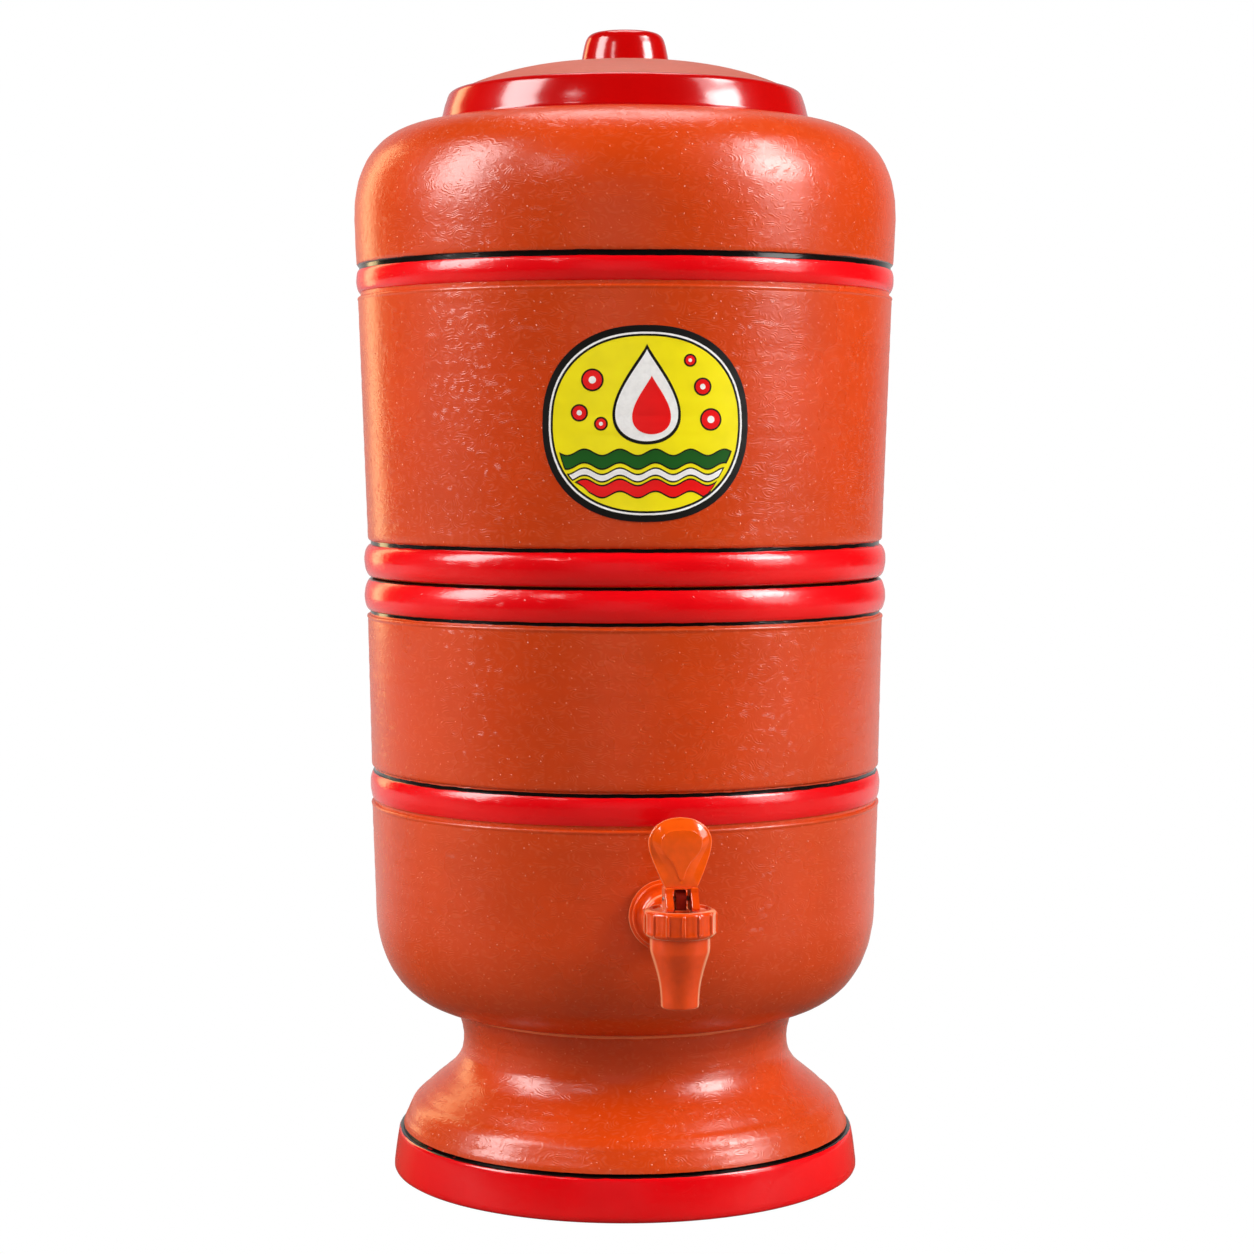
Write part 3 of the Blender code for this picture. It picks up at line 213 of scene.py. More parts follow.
def painted_clay(name, low, high, zones, slip_roughness=0.27, relief=1.0):
    """Slip-brushed clay. zones is a list of (height where it starts, colour, gloss 0 to 1), rising."""
    paint_wander = 0.0009
    gloss_roughness = 0.14
    stroke_height = 0.00003 * relief
    swirl_height = 0.000055 * relief
    grit_height = 0.00012 * relief
    grit_dust_and_stroke_highlight = (1.0, 0.30, 0.14, 1)

    material = bpy.data.materials.new(name)
    material.use_nodes = True
    shader = material.node_tree.nodes["Principled BSDF"]
    place = node(material, "ShaderNodeTexCoord").outputs["Object"]
    flat_place = node(material, "ShaderNodeMapping", {"Vector": place, "Scale": (1.0, 1.0, 2.4)}).outputs[0]
    height = node(material, "ShaderNodeSeparateXYZ", {0: place}).outputs["Z"]
    wander = math_node(material, "SUBTRACT", noise(material, place, 90.0, 2.0), 0.5)
    wander = math_node(material, "MULTIPLY", wander, paint_wander)
    level = remapped(material, math_node(material, "ADD", height, wander), low, high)
    paint = node(material, "ShaderNodeValToRGB", {0: level})
    paint.color_ramp.interpolation = "CONSTANT"
    stops = paint.color_ramp.elements
    while len(stops) < len(zones):
        stops.new(0.5)
    for stop, (start, color, gloss) in zip(stops, zones):
        stop.position = max(0.0, (start - low) / (high - low))
        stop.color = (*color[:3], gloss)
    gloss = paint.outputs["Alpha"]

    blotches = noise(material, place, 14.0, 4.0, roughness=0.6)
    tone = remapped(material, blotches, 0.3, 0.7, 0.90, 1.08)
    toned = mixed(material, 1.0, paint.outputs["Color"], tone, "MULTIPLY")

    grit = node(material, "ShaderNodeTexVoronoi", {"Vector": place, "Scale": 270.0}).outputs["Distance"]
    grit = remapped(material, grit, 0.06, 0.14, 1.0, 0.0)
    swirls = noise(material, flat_place, 62.0, 1.0)
    swirls = math_node(material, "SINE", math_node(material, "MULTIPLY", swirls, 48.0))
    swirls = math_node(material, "POWER", math_node(material, "ABSOLUTE", swirls), 3.0)
    patches = remapped(material, noise(material, place, 330.0, 0.0), 0.40, 0.62)
    swirls = math_node(material, "MULTIPLY", swirls, patches)
    # The pale grit dots are the clay's own colour. The paler wavy strokes are a painted highlight.
    marks = math_node(
        material,
        "ADD",
        math_node(material, "MULTIPLY", grit, 0.38 * relief),
        math_node(material, "MULTIPLY", swirls, 0.07 * relief),
    )
    unpainted = math_node(material, "SUBTRACT", 1.0, math_node(material, "MULTIPLY", gloss, 1.6))
    unpainted = math_node(material, "MAXIMUM", unpainted, 0.04)
    dusted_and_highlit = mixed(material, math_node(material, "MULTIPLY", marks, unpainted), toned, grit_dust_and_stroke_highlight)
    material.node_tree.links.new(dusted_and_highlit, shader.inputs["Base Color"])
    shader.inputs["IOR"].default_value = 1.58

    roughness = remapped(material, gloss, 0.0, 1.0, slip_roughness, gloss_roughness)
    patchy = math_node(material, "MULTIPLY", math_node(material, "SUBTRACT", blotches, 0.5), 0.07)
    material.node_tree.links.new(math_node(material, "ADD", roughness, patchy), shader.inputs["Roughness"])

    strokes = noise(material, flat_place, 340.0, 1.0, distortion=1.2)
    surface = math_node(material, "MULTIPLY", strokes, stroke_height)
    surface = math_node(material, "ADD", surface, math_node(material, "MULTIPLY", swirls, swirl_height))
    surface = math_node(material, "ADD", surface, math_node(material, "MULTIPLY", grit, grit_height))
    uncovered = math_node(material, "SUBTRACT", 1.0, math_node(material, "MULTIPLY", gloss, 0.72))
    surface = math_node(material, "MULTIPLY", surface, uncovered)
    bump = node(material, "ShaderNodeBump", {"Strength": 1.0, "Distance": 1.0, "Height": surface})
    material.node_tree.links.new(bump.outputs[0], shader.inputs["Normal"])
    return material


def arc_path(foot, head, crest, steps=16):
    """A rounded raised band between two (radius, height) points in mm."""
    points = []
    for step in range(steps + 1):
        angle = math.pi * step / steps
        share = (1 - math.cos(angle)) / 2
        base = foot[0] + (head[0] - foot[0]) * share
        middle = (foot[0] + head[0]) / 2
        points.append((base + (crest - middle) * math.sin(angle), foot[1] + (head[1] - foot[1]) * share))
    return points


def curve_path(points, steps=8):
    """A smooth curve through (radius, height) points in mm."""
    knots = [Vector(point) for point in points]
    knots = [2 * knots[0] - knots[1]] + knots + [2 * knots[-1] - knots[-2]]
    path = []
    for index in range(1, len(knots) - 2):
        a, b, c, d = knots[index - 1 : index + 3]
        for step in range(steps):
            t = step / steps
            point = 0.5 * (
                2 * b + (c - a) * t + (2 * a - 5 * b + 4 * c - d) * t * t + (3 * b - a - 3 * c + d) * t**3
            )
            path.append(tuple(point))
    path.append(tuple(knots[-2]))
    return path


def wall_path(foot, head):
    """A straight wall in mm with a rounded foot and a small bead round its head."""
    row_spacing = 3.0
    foot_round = 1.6
    bead = 1.9
    rise = head[1] - foot[1]
    rows = max(4, int(rise / row_spacing))
    points = [(foot[0] - 1.3, foot[1] - 0.1), (foot[0] - 0.65, foot[1] + 0.2), (foot[0] - 0.1, foot[1] + 0.9)]
    for row in range(rows + 1):
        height = foot[1] + foot_round + (rise - foot_round - bead - 0.9) * row / rows
        points.append((foot[0] + (head[0] - foot[0]) * (height - foot[1]) / rise, height))
    points.append((head[0] - 0.12, head[1] - bead - 0.35))
    for out, down in ((-0.10, 1.0), (0.22, 0.72), (0.30, 0.45), (0.12, 0.18)):
        points.append((head[0] + out, head[1] - bead * down))
    points += [(head[0] - 0.45, head[1] + 0.05), (head[0] - 1.3, head[1] + 0.1)]
    return points


def throwing_marks(angle, height):
    """How far the hand-thrown wall strays from true, in mm, at an angle and a height in mm."""
    warp = 0.12 * math.cos(2 * angle + 0.7) + 0.07 * math.cos(3 * angle + height * 0.01)
    rings = 0.05 * math.sin(height * 0.61 + math.sin(angle) * 0.8)
    fine_rings = 0.04 * math.sin(height * 1.37 + 1.3 * math.cos(angle))
    return warp + rings + fine_rings


def turn_clay(name, path, steps=288, closed=False, straying=1.0):
    """Turn a path of (radius, height) points in mm about the vessels' axis into a smooth piece."""
    bm = bmesh.new()
    rings = []
    for radius, height in path:
        if radius < 0.01:
            rings.append([bm.verts.new((0, axis_y, height * 0.001))] * steps)
            continue
        ring = []
        for step in range(steps):
            angle = 2 * math.pi * step / steps
            out = (radius + straying * throwing_marks(angle, height) * min(1, radius / 60)) * 0.001
            ring.append(bm.verts.new((out * math.cos(angle), axis_y + out * math.sin(angle), height * 0.001)))
        rings.append(ring)
    pairs = list(zip(rings, rings[1:]))
    if closed:
        pairs.append((rings[-1], rings[0]))
    for lower, upper in pairs:
        for step in range(steps):
            after = (step + 1) % steps
            bm.faces.new(list(dict.fromkeys([lower[step], lower[after], upper[after], upper[step]])))
    bmesh.ops.recalc_face_normals(bm, faces=bm.faces)
    mesh = bpy.data.meshes.new(name)
    bm.to_mesh(mesh)
    bm.free()
    mesh.shade_smooth()
    mesh.set_sharp_from_angle(angle=math.radians(50))
    piece = bpy.data.objects.new(name, mesh)
    bpy.context.scene.collection.objects.link(piece)
    return piece


def cut_holes(piece, holes):
    """Drill round holes: each is (centre, direction, radius, length)."""
    drills = []
    for centre, direction, radius, length in holes:
        bm = bmesh.new()
        bmesh.ops.create_cone(bm, cap_ends=True, segments=48, radius1=radius, radius2=radius, depth=length)
        turn = Vector((0, 0, 1)).rotation_difference(Vector(direction)).to_matrix().to_4x4()
        bm.transform(Matrix.Translation(centre) @ turn)
        mesh = bpy.data.meshes.new("drill")
        bm.to_mesh(mesh)
        bm.free()
        drill = bpy.data.objects.new("drill", mesh)
        bpy.context.scene.collection.objects.link(drill)
        boolean = piece.modifiers.new("drill", "BOOLEAN")
        boolean.operation = "DIFFERENCE"
        boolean.solver = "EXACT"
        boolean.object = drill
        drills.append(drill)
    settle(piece)
    for drill in drills:
        bpy.data.objects.remove(drill, do_unlink=True)


def settle(piece):
    """Apply a piece's modifiers to its mesh."""
    result = piece.evaluated_get(bpy.context.evaluated_depsgraph_get())
    mesh = bpy.data.meshes.new_from_object(result)
    piece.modifiers.clear()
    old = piece.data
    piece.data = mesh
    bpy.data.meshes.remove(old)


# Pedestal
# A thrown spool, open from top to bottom: a short neck, a bell with a soft second swelling and a
# straight foot ring painted glossy red, with a black line on the ledge above it.

bell = curve_path(
    [
        (112.7, 22.6),
        (111.8, 25.4),
        (110.4, 28.6),
        (108.2, 33.2),
        (105.6, 36.3),
        (103.1, 38.3),
        (100.9, 40.4),
        (97.7, 43.2),
        (93.4, 46.7),
        (87.4, 52.0),
        (83.6, 58.0),
        (82.1, 65.0),
        (82.7, 72.0),
        (83.9, 77.0),
        (84.4, 79.8),
        (85.1, 81.3),
        (85.3, 82.2),
        (84.9, 82.9),
        (83.8, 83.3),
    ]
)
foot_ring = [
    (116.2, 0.0),
    (117.0, 0.5),
    (117.4, 1.4),
    (117.4, 3.2),
    (117.1, 6.0),
    (116.6, 10.0),
    (116.0, 14.0),
    (115.3, 18.6),
    (115.0, 20.0),
    (114.5, 20.9),
    (113.9, 21.2),
    (113.1, 21.3),
    (112.3, 21.0),
    (111.8, 21.0),
    (112.0, 21.7),
]
spool_inside = [
    (83.0, 83.4),
    (73.0, 83.4),
    (72.5, 83.0),
    (72.5, 58.0),
    (74.5, 52.5),
    (84.0, 42.5),
    (95.0, 31.0),
    (103.0, 22.0),
    (106.0, 12.0),
    (106.1, 0.5),
    (106.6, 0.0),
]
pedestal = turn_clay("pedestal_clay", foot_ring + bell + spool_inside, closed=True)
# A paler band round the pedestal's top lip, a painted highlight along the seam's edge.
lip_highlight = (0.95, 0.22, 0.075, 1)
pedestal.data.materials.append(
    painted_clay(
        "pedestal_slip",
        -0.001,
        0.085,
        [
            (-0.001, band_red, 0.8),
            (0.0207, line_black, 1.0),
            (0.0224, terracotta, 0.0),
            (0.0812, lip_highlight, 0.2),
        ],
    )
)
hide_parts("pedestal")
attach(pedestal, "pedestal")


# Lower vessel
# A thrown jar with a round bowl and two red bands. Black lines run above the lower band, below the
# upper one and at the seam. Its foot drops into the pedestal, and the tap's shank goes through its wall.


def swell_path(middle, reach, rise, fullness, steps):
    """A quarter of a squared oval in mm, from the side to the top, or to the bottom if rise is below 0."""
    points = []
    for step in range(steps + 1):
        turn = math.radians(90 * step / steps)
        out = abs(math.cos(turn)) ** (2 / fullness)
        up = math.sin(turn) ** (2 / fullness)
        points.append((middle[0] + reach * out, middle[1] + rise * up))
    return points


shank_hole_radius = 0.0086
lower_bowl = swell_path((84.5, 137.0), 41.7, -53.3, 2.2, 24)[::-1]
lower_path = (
    [(0.0, 77.7), (40.0, 77.7), (70.4, 77.7), (71.2, 78.5), (71.2, 83.7), (80.0, 83.7)]
    + lower_bowl
    + wall_path((126.2, 139.0), (127.8, 187.8))[3:]
    + arc_path((126.6, 189.4), (126.6, 203.4), 128.5)
    + wall_path((127.8, 205.4), (129.4, 281.8))
    + arc_path((128.0, 283.9), (127.4, 299.9), 130.9)
    + [(126.4, 300.1), (120.2, 300.1), (119.6, 299.5)]
    + [(119.6, 292.0), (121.3, 283.8), (120.4, 220.0), (118.2, 137.0)]
    + curve_path([(118.2, 137.0), (115.6, 118.0), (109.0, 104.0), (98.0, 95.6), (84.5, 92.7)])
    + [(72.0, 92.7), (62.2, 86.7), (0.0, 86.7)]
)
lower = turn_clay("lower_vessel_clay", lower_path)
shank_height = (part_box("tap_back_nut")[0][2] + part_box("tap_back_nut")[1][2]) / 2
cut_holes(lower, [((0, axis_y - 0.123, shank_height), (0, 1, 0), shank_hole_radius, 0.030)])
lower.data.materials.append(
    painted_clay(
        "lower_vessel_slip",
        0.077,
        0.301,
        [
            (0.077, terracotta, 0.0),
            (0.1892, band_red, 0.6),
            (0.2030, line_black, 1.0),
            (0.2047, terracotta, 0.0),
            (0.2820, line_black, 1.0),
            (0.2842, band_red, 0.6),
            (0.2992, line_black, 1.0),
        ],
    )
)
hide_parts("lower_vessel")
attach(lower, "lower_vessel")


# Upper vessel
# The same clay, wider at its round shoulder. A spigot under it drops into the lower vessel's mouth,
# and its floor has two holes for the candles' stems.

upper_wall_foot = (129.1, 318.7)
upper_wall_head = (133.4, 439.6)
candle_hole_radius = 0.0060
upper_shoulder = swell_path((92.0, 477.6), 43.0, 47.2, 2.4, 32)
upper_inside = [(98.0, 516.8), (114.0, 511.0), (124.0, 497.0), (127.0, 477.6), (124.0, 400.0), (121.5, 330.0)]
upper_path = (
    [(0.0, 292.4), (60.0, 292.4), (117.6, 292.4), (118.3, 293.2), (118.3, 300.4), (126.4, 300.4)]
    + arc_path((127.4, 300.7), (127.8, 316.7), 131.0)
    + wall_path(upper_wall_foot, upper_wall_head)
    + arc_path((132.2, 441.6), (132.8, 452.8), 134.2)
    + [(132.7, 454.7), (133.4, 455.0), (133.9, 455.8), (134.1, 457.4), (134.5, 465.0), (134.8, 472.0)]
    + upper_shoulder
    + [(86.0, 524.8), (80.9, 524.6), (80.0, 523.8), (80.0, 517.4), (80.8, 516.8), (92.0, 516.8)]
    + curve_path(upper_inside)
    + curve_path([(121.1, 312.0), (119.0, 306.0), (114.0, 302.4), (108.0, 301.4)])
    + [(60.0, 301.4), (0.0, 301.4)]
)
upper = turn_clay("upper_vessel_clay", upper_path)
candle_places = []
for kit in ("1", "2"):
    washer_low, washer_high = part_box(f"candle_top_washer_{kit}")
    candle_places.append(((washer_low[0] + washer_high[0]) / 2, (washer_low[1] + washer_high[1]) / 2))
cut_holes(upper, [((x, y, 0.297), (0, 0, 1), candle_hole_radius, 0.020) for x, y in candle_places])
upper.data.materials.append(
    painted_clay(
        "upper_vessel_slip",
        0.291,
        0.526,
        [
            (0.291, terracotta, 0.0),
            (0.3002, line_black, 1.0),
            (0.3009, band_red, 0.6),
            (0.3166, line_black, 1.0),
            (0.3182, terracotta, 0.0),
            (0.4414, band_red, 0.6),
            (0.4524, line_black, 1.0),
            (0.4545, terracotta, 0.0),
        ],
    )
)
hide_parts("upper_vessel")
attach(upper, "upper_vessel")


# Lid
# A thrown disc with a low dome of bare matt clay. Its rim and its knob are dipped in the glossy red.
# A ring underneath keeps it on the mouth.

dome_foot = 540.9
dome_rise = 14.7
dome_radius = 84.6


def dome_height(radius):
    """Height of the dome's outer face in mm."""
    return dome_foot + dome_rise * (1 - (radius / dome_radius) ** 2.8)


knob_top = [(0.0, 571.6), (9.0, 571.5), (14.6, 571.1), (17.4, 570.1), (19.2, 568.0), (20.3, 564.8)]
knob_side = [(20.3, 564.8), (21.2, 560.4), (21.9, 556.2), (22.4, 554.7), (23.4, 554.4)]
knob_path = curve_path(knob_top, 5) + curve_path(knob_side, 5)[1:]
dome_path = [(radius, dome_height(radius)) for radius in np.linspace(24.5, dome_radius, 26)]
lid_rim = [
    (85.0, 541.0),
    (85.7, 541.2),
    (86.5, 541.0),
    (87.3, 540.5),
    (88.0, 539.7),
    (88.5, 538.6),
    (89.0, 537.0),
    (89.9, 534.6),
    (90.8, 531.0),
    (91.8, 527.0),
    (92.2, 525.8),
    (92.0, 525.2),
    (91.4, 525.1),
    (79.4, 525.1),
    (78.7, 524.6),
    (78.7, 518.6),
    (78.2, 518.1),
    (72.2, 518.1),
    (71.7, 518.6),
]
lid_thickness = 8.0
lid_under = [(radius, dome_height(radius) - lid_thickness) for radius in np.linspace(71.7, 0.0, 16)]
lid = turn_clay("lid_clay", knob_path + dome_path + lid_rim + lid_under, straying=0.5)
dip_red = (0.52, 0.0006, 0.0010, 1)
# The dome is bare clay, tinted pink as a painted sheen from the light above.
pink_sheen_bare_clay = (0.50, 0.092, 0.050, 1)
dip = painted_clay("lid_dip", 0.517, 0.572, [(0.517, dip_red, 0.9), (0.5180, dip_red, 0.9)], relief=0.25)
bare_zones = [(0.517, pink_sheen_bare_clay, 0.0), (0.5180, pink_sheen_bare_clay, 0.0)]
bare = painted_clay("lid_bare_clay", 0.517, 0.572, bare_zones, slip_roughness=0.55, relief=0.5)
lid.data.materials.append(dip)
lid.data.materials.append(bare)
for face in lid.data.polygons:
    middle = face.center
    radius = math.hypot(middle.x, middle.y - axis_y)
    on_dome = 0.0232 < radius < 0.0852 and middle.z > 0.5405
    inside_ring = radius < 0.0790 and middle.z < 0.5478 and face.normal.z < 0.5
    face.material_index = 1 if on_dome or inside_ring else 0
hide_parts("lid")
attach(lid, "lid")


# Carried-over pieces
# The candles, washers, nuts and float valves keep their CAD shape and get their own finish.


def plain_finish(name, color, roughness, metallic=0.0, grain=400.0, depth=0.00002, edge_highlight=None):
    """A moulded or machined finish with a faint grain. A given pale colour is a painted highlight on edges
    that turn from view.
    """
    material = bpy.data.materials.new(name)
    material.use_nodes = True
    shader = material.node_tree.nodes["Principled BSDF"]
    place = node(material, "ShaderNodeTexCoord").outputs["Object"]
    grains = noise(material, place, grain, 3.0)
    toned = mixed(material, 1.0, (*color, 1), remapped(material, grains, 0.3, 0.7, 0.93, 1.05), "MULTIPLY")
    shader.inputs["Roughness"].default_value = roughness
    shader.inputs["Metallic"].default_value = metallic
    if edge_highlight:
        # Painted highlight: the base colour turns to the pale colour on edges that turn away from view.
        turned_away = node(material, "ShaderNodeLayerWeight", {"Blend": 0.5}).outputs["Facing"]
        edge = node(material, "ShaderNodeValToRGB", {0: turned_away})
        stops = edge.color_ramp.elements
        stops.new(0.66)
        stops.new(0.82)
        for stop, (position, value) in zip(stops, ((0.55, 0.0), (0.68, 0.7), (0.80, 0.7), (0.90, 0.1))):
            stop.position = position
            stop.color = (value, value, value, 1)
        toned = mixed(material, edge.outputs["Color"], toned, (*edge_highlight, 1))
        shader.inputs["Sheen Weight"].default_value = 0.15
        shader.inputs["Sheen Roughness"].default_value = 0.25
        shader.inputs["Sheen Tint"].default_value = (*edge_highlight, 1)
        shader.inputs["Coat Weight"].default_value = 0.6
        shader.inputs["Coat Roughness"].default_value = 0.05
    material.node_tree.links.new(toned, shader.inputs["Base Color"])
    surface = math_node(material, "MULTIPLY", grains, depth)
    bump = node(material, "ShaderNodeBump", {"Strength": 1.0, "Distance": 1.0, "Height": surface})
    material.node_tree.links.new(bump.outputs[0], shader.inputs["Normal"])
    return material


finishes = {
    "candle_shell": plain_finish("unglazed_ceramic", (0.82, 0.79, 0.72), 0.9, grain=900.0, depth=0.00006),
    "candle_base": plain_finish("white_moulding", (0.80, 0.80, 0.78), 0.4),
    "candle_carbon": plain_finish("carbon_grain", (0.02, 0.02, 0.02), 0.95, grain=1500.0, depth=0.0003),
    "candle_top_washer": plain_finish("black_rubber", (0.02, 0.02, 0.02), 0.7),
    "float_arm": plain_finish("blue_moulding", (0.05, 0.17, 0.48), 0.38),
    "float_pin": plain_finish("steel_wire", (0.60, 0.60, 0.60), 0.3, metallic=1.0),
}
finishes["candle_bottom_washer"] = finishes["float_pad"] = finishes["candle_top_washer"]
finishes["candle_wing_nut"] = finishes["float_bracket"] = finishes["candle_base"]
for name, cad_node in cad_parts.items():
    finish = finishes.get(name.rsplit("_", 1)[0])
    if finish:
        cad_node.data.materials.clear()
        cad_node.data.materials.append(finish)


# Tap
# A moulded orange tap screwed through the lower vessel's wall. Its ribbed nut holds the stem's gland,
# and the lever's two cam feet stand on that nut. All its shapes are set out in mm from the barrel's
# axis, across, to the back and up, at the height of the shank.

pin_low, pin_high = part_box("tap_pivot_pin")
tap_y = (pin_low[1] + pin_high[1]) / 2
pin_rise = 1000 * ((pin_low[2] + pin_high[2]) / 2 - shank_height)
# Pale orange painted on the tap's edges as a painted highlight.
painted_edge_highlight = (1.0, 0.46, 0.24)
orange_plastic = plain_finish(
    "orange_moulding", (0.80, 0.062, 0.002), 0.14, grain=260.0, depth=0.000004, edge_highlight=painted_edge_highlight
)
# A lighter copy of the same orange moulding for the lever, as painted light on its paddle.
lit_lever_plastic = plain_finish(
    "orange_lever_moulding_lit", (0.95, 0.100, 0.003), 0.14, grain=260.0, depth=0.000004, edge_highlight=painted_edge_highlight
)
# Dark red: the stem's own colour, and painted shade on the lever's faces inside the slot between its legs.
stem_and_shade_plastic = plain_finish("dark_red_moulding", (0.21, 0.006, 0.0005), 0.40)
stem_and_shade_plastic.node_tree.nodes["Principled BSDF"].inputs["IOR"].default_value = 1.25


def skin(rings, chain=False):
    """A closed body skinned over rings of points, capped at both ends, or a closed chain of rings."""
    bm = bmesh.new()
    loops = [[bm.verts.new(point) for point in ring] for ring in rings]
    pairs = list(zip(loops, loops[1:]))
    if chain:
        pairs.append((loops[-1], loops[0]))
    else:
        bm.faces.new(loops[0])
        bm.faces.new(loops[-1])
    for lower, upper in pairs:
        for index in range(len(lower)):
            after = (index + 1) % len(lower)
            bm.faces.new([lower[index], lower[after], upper[after], upper[index]])
    bmesh.ops.recalc_face_normals(bm, faces=bm.faces)
    return bm


def round_bar(path, steps=64, turn=None):
    """A solid turned about Z from (radius, height) points, then turned to another direction."""
    rings = []
    for radius, height in path:
        angles = [2 * math.pi * step / steps for step in range(steps)]
        rings.append([(radius * math.cos(angle), radius * math.sin(angle), height) for angle in angles])
    bm = skin(rings)
    if turn:
        bm.transform(turn)
    return bm


def moulded(name, body, steps, finish, body_name, node_name):
    """Join and cut shapes given in the tap's mm into one piece that stands for a CAD node."""
    shapes = []
    for bm in [body] + [shape for _, shape in steps]:
        bm.transform(Matrix.Translation((0, tap_y, shank_height)) @ Matrix.Scale(0.001, 4))
        mesh = bpy.data.meshes.new(name)
        bm.to_mesh(mesh)
        bm.free()
        shapes.append(bpy.data.objects.new(f"{name}_shape" if shapes else name, mesh))
        bpy.context.scene.collection.objects.link(shapes[-1])
    piece = shapes[0]
    for (operation, _), shape in zip(steps, shapes[1:]):
        boolean = piece.modifiers.new(operation, "BOOLEAN")
        boolean.operation = operation
        boolean.solver = "EXACT"
        boolean.object = shape
    settle(piece)
    for shape in shapes[1:]:
        bpy.data.objects.remove(shape, do_unlink=True)
    piece.data.shade_smooth()
    piece.data.set_sharp_from_angle(angle=math.radians(38))
    piece.data.materials.clear()
    piece.data.materials.append(finish)
    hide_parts(node_name)
    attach(piece, body_name)
    return piece


# Tap body
# Barrel and spout with a sloping neck, a hub and a stepped flange, and the bore through them all.

hub_end = 35.3
water_way_radius = 3.4
to_back = Matrix.Rotation(-math.pi / 2, 4, "X")
barrel = [(13.3, 6.0), (13.7, 5.6), (13.7, -7.2)]
barrel += curve_path(
    [
        (13.7, -7.2),
        (13.5, -8.9),
        (12.9, -11.1),
        (11.7, -14.9),
        (10.45, -19.2),
        (9.4, -23.9),
        (8.85, -28.6),
        (8.65, -33.1),
    ]
)[1:]
barrel += [(8.55, -33.7), (8.15, -34.1), (7.55, -34.2)]
flange = [(8.8, hub_end), (9.8, hub_end + 0.2), (10.4, hub_end + 0.8), (10.5, hub_end + 1.6)]
flange += curve_path([(10.5, 39.4), (10.7, 40.6), (11.6, 41.8), (13.1, 42.35), (14.5, 42.3)], 5)
flange += [(14.9, 42.4), (15.2, 42.8), (15.25, 43.4), (15.6, 43.6), (16.2, 43.6), (16.6, 43.8)]
flange += [(16.8, 44.3), (16.8, 45.1), (16.5, 45.5), (8.0, 45.5), (8.0, 68.3)]
neck_start = hub_end + 3.0
neck_drop = 15.0
neck_length = math.hypot(neck_start, neck_drop)
to_spout = Matrix.Translation((0, neck_start, 0)) @ Matrix.Rotation(
    math.pi / 2 + math.atan2(neck_drop, neck_start), 4, "X"
)
neck = []
for along in np.linspace(0, neck_length - 2, 40):
    flare = 1.5 * math.exp(-max(0, along - 3.2) / 0.9) + 1.9 * math.exp(-max(0, 26.4 - along) / 1.6)
    neck.append((5.8 + flare, along))
chamber = [(7.3, -35.4), (7.3, -34.1), (6.9, -33.7), (6.9, -21.3), (5.0, -19.3), (5.0, -17.5)]
chamber += [(8.0, -17.5), (10.4, -10.9), (10.4, 7.0)]
neck_bore = [(water_way_radius, 0), (water_way_radius, neck_length - 7.0)]
shank_bore = [(water_way_radius, neck_start - 3.4), (water_way_radius, 69.3)]
moulded(
    "tap_body_moulding",
    round_bar(barrel),
    [
        ("UNION", round_bar(flange, turn=to_back)),
        ("UNION", round_bar(neck, turn=to_spout)),
        ("DIFFERENCE", round_bar(chamber)),
        ("DIFFERENCE", round_bar(neck_bore, 32, to_spout)),
        ("DIFFERENCE", round_bar(shank_bore, 32, to_back)),
    ],
    orange_plastic,
    "lower_vessel",
    "tap_body",
)


# Collar nut
# Fourteen narrow ribs round the skirt, a chamfered lower lip, a rounded top with a shallow recess, and
# a low block that keeps the lever's feet in line. Each row of the skirt gives its height, how far it
# stands in from the widest, and how much deeper it is between the ribs.

collar_radius = 17.0
collar_ribs = 14
rib_turn = 0.376
gland_radius = 2.65
guide_top = 10.3
collar_rows = [
    (-1.80, 2.30, 0.00),
    (-1.65, 1.85, 0.00),
    (-1.05, 1.25, 0.05),
    (-0.45, 0.75, 0.15),
    (-0.05, 0.42, 0.30),
    (0.30, 0.16, 0.55),
    (0.60, 0.04, 0.80),
    (0.95, 0.00, 0.90),
    (4.00, 0.00, 0.90),
    (7.30, 0.00, 0.90),
    (7.90, 0.02, 0.85),
    (8.40, 0.10, 0.70),
    (8.90, 0.28, 0.45),
    (9.40, 0.60, 0.18),
    (9.85, 1.05, 0.03),
    (10.20, 1.60, 0.00),
    (10.45, 2.20, 0.00),
    (10.58, 2.85, 0.00),
]
collar_steps = collar_ribs * 28
collar_angles = [2 * math.pi * step / collar_steps for step in range(collar_steps)]


def rib_face(angle):
    """0 on a rib and 1 on the face between two ribs."""
    place = (angle * collar_ribs / (2 * math.pi) - rib_turn) % 1
    off_rib = min(place, 1 - place)
    rise = min(1, max(0, (off_rib - 0.055) / 0.060))
    return rise * rise * (3 - 2 * rise) * (0.82 + 0.18 * math.cos(2 * math.pi * off_rib) ** 2)


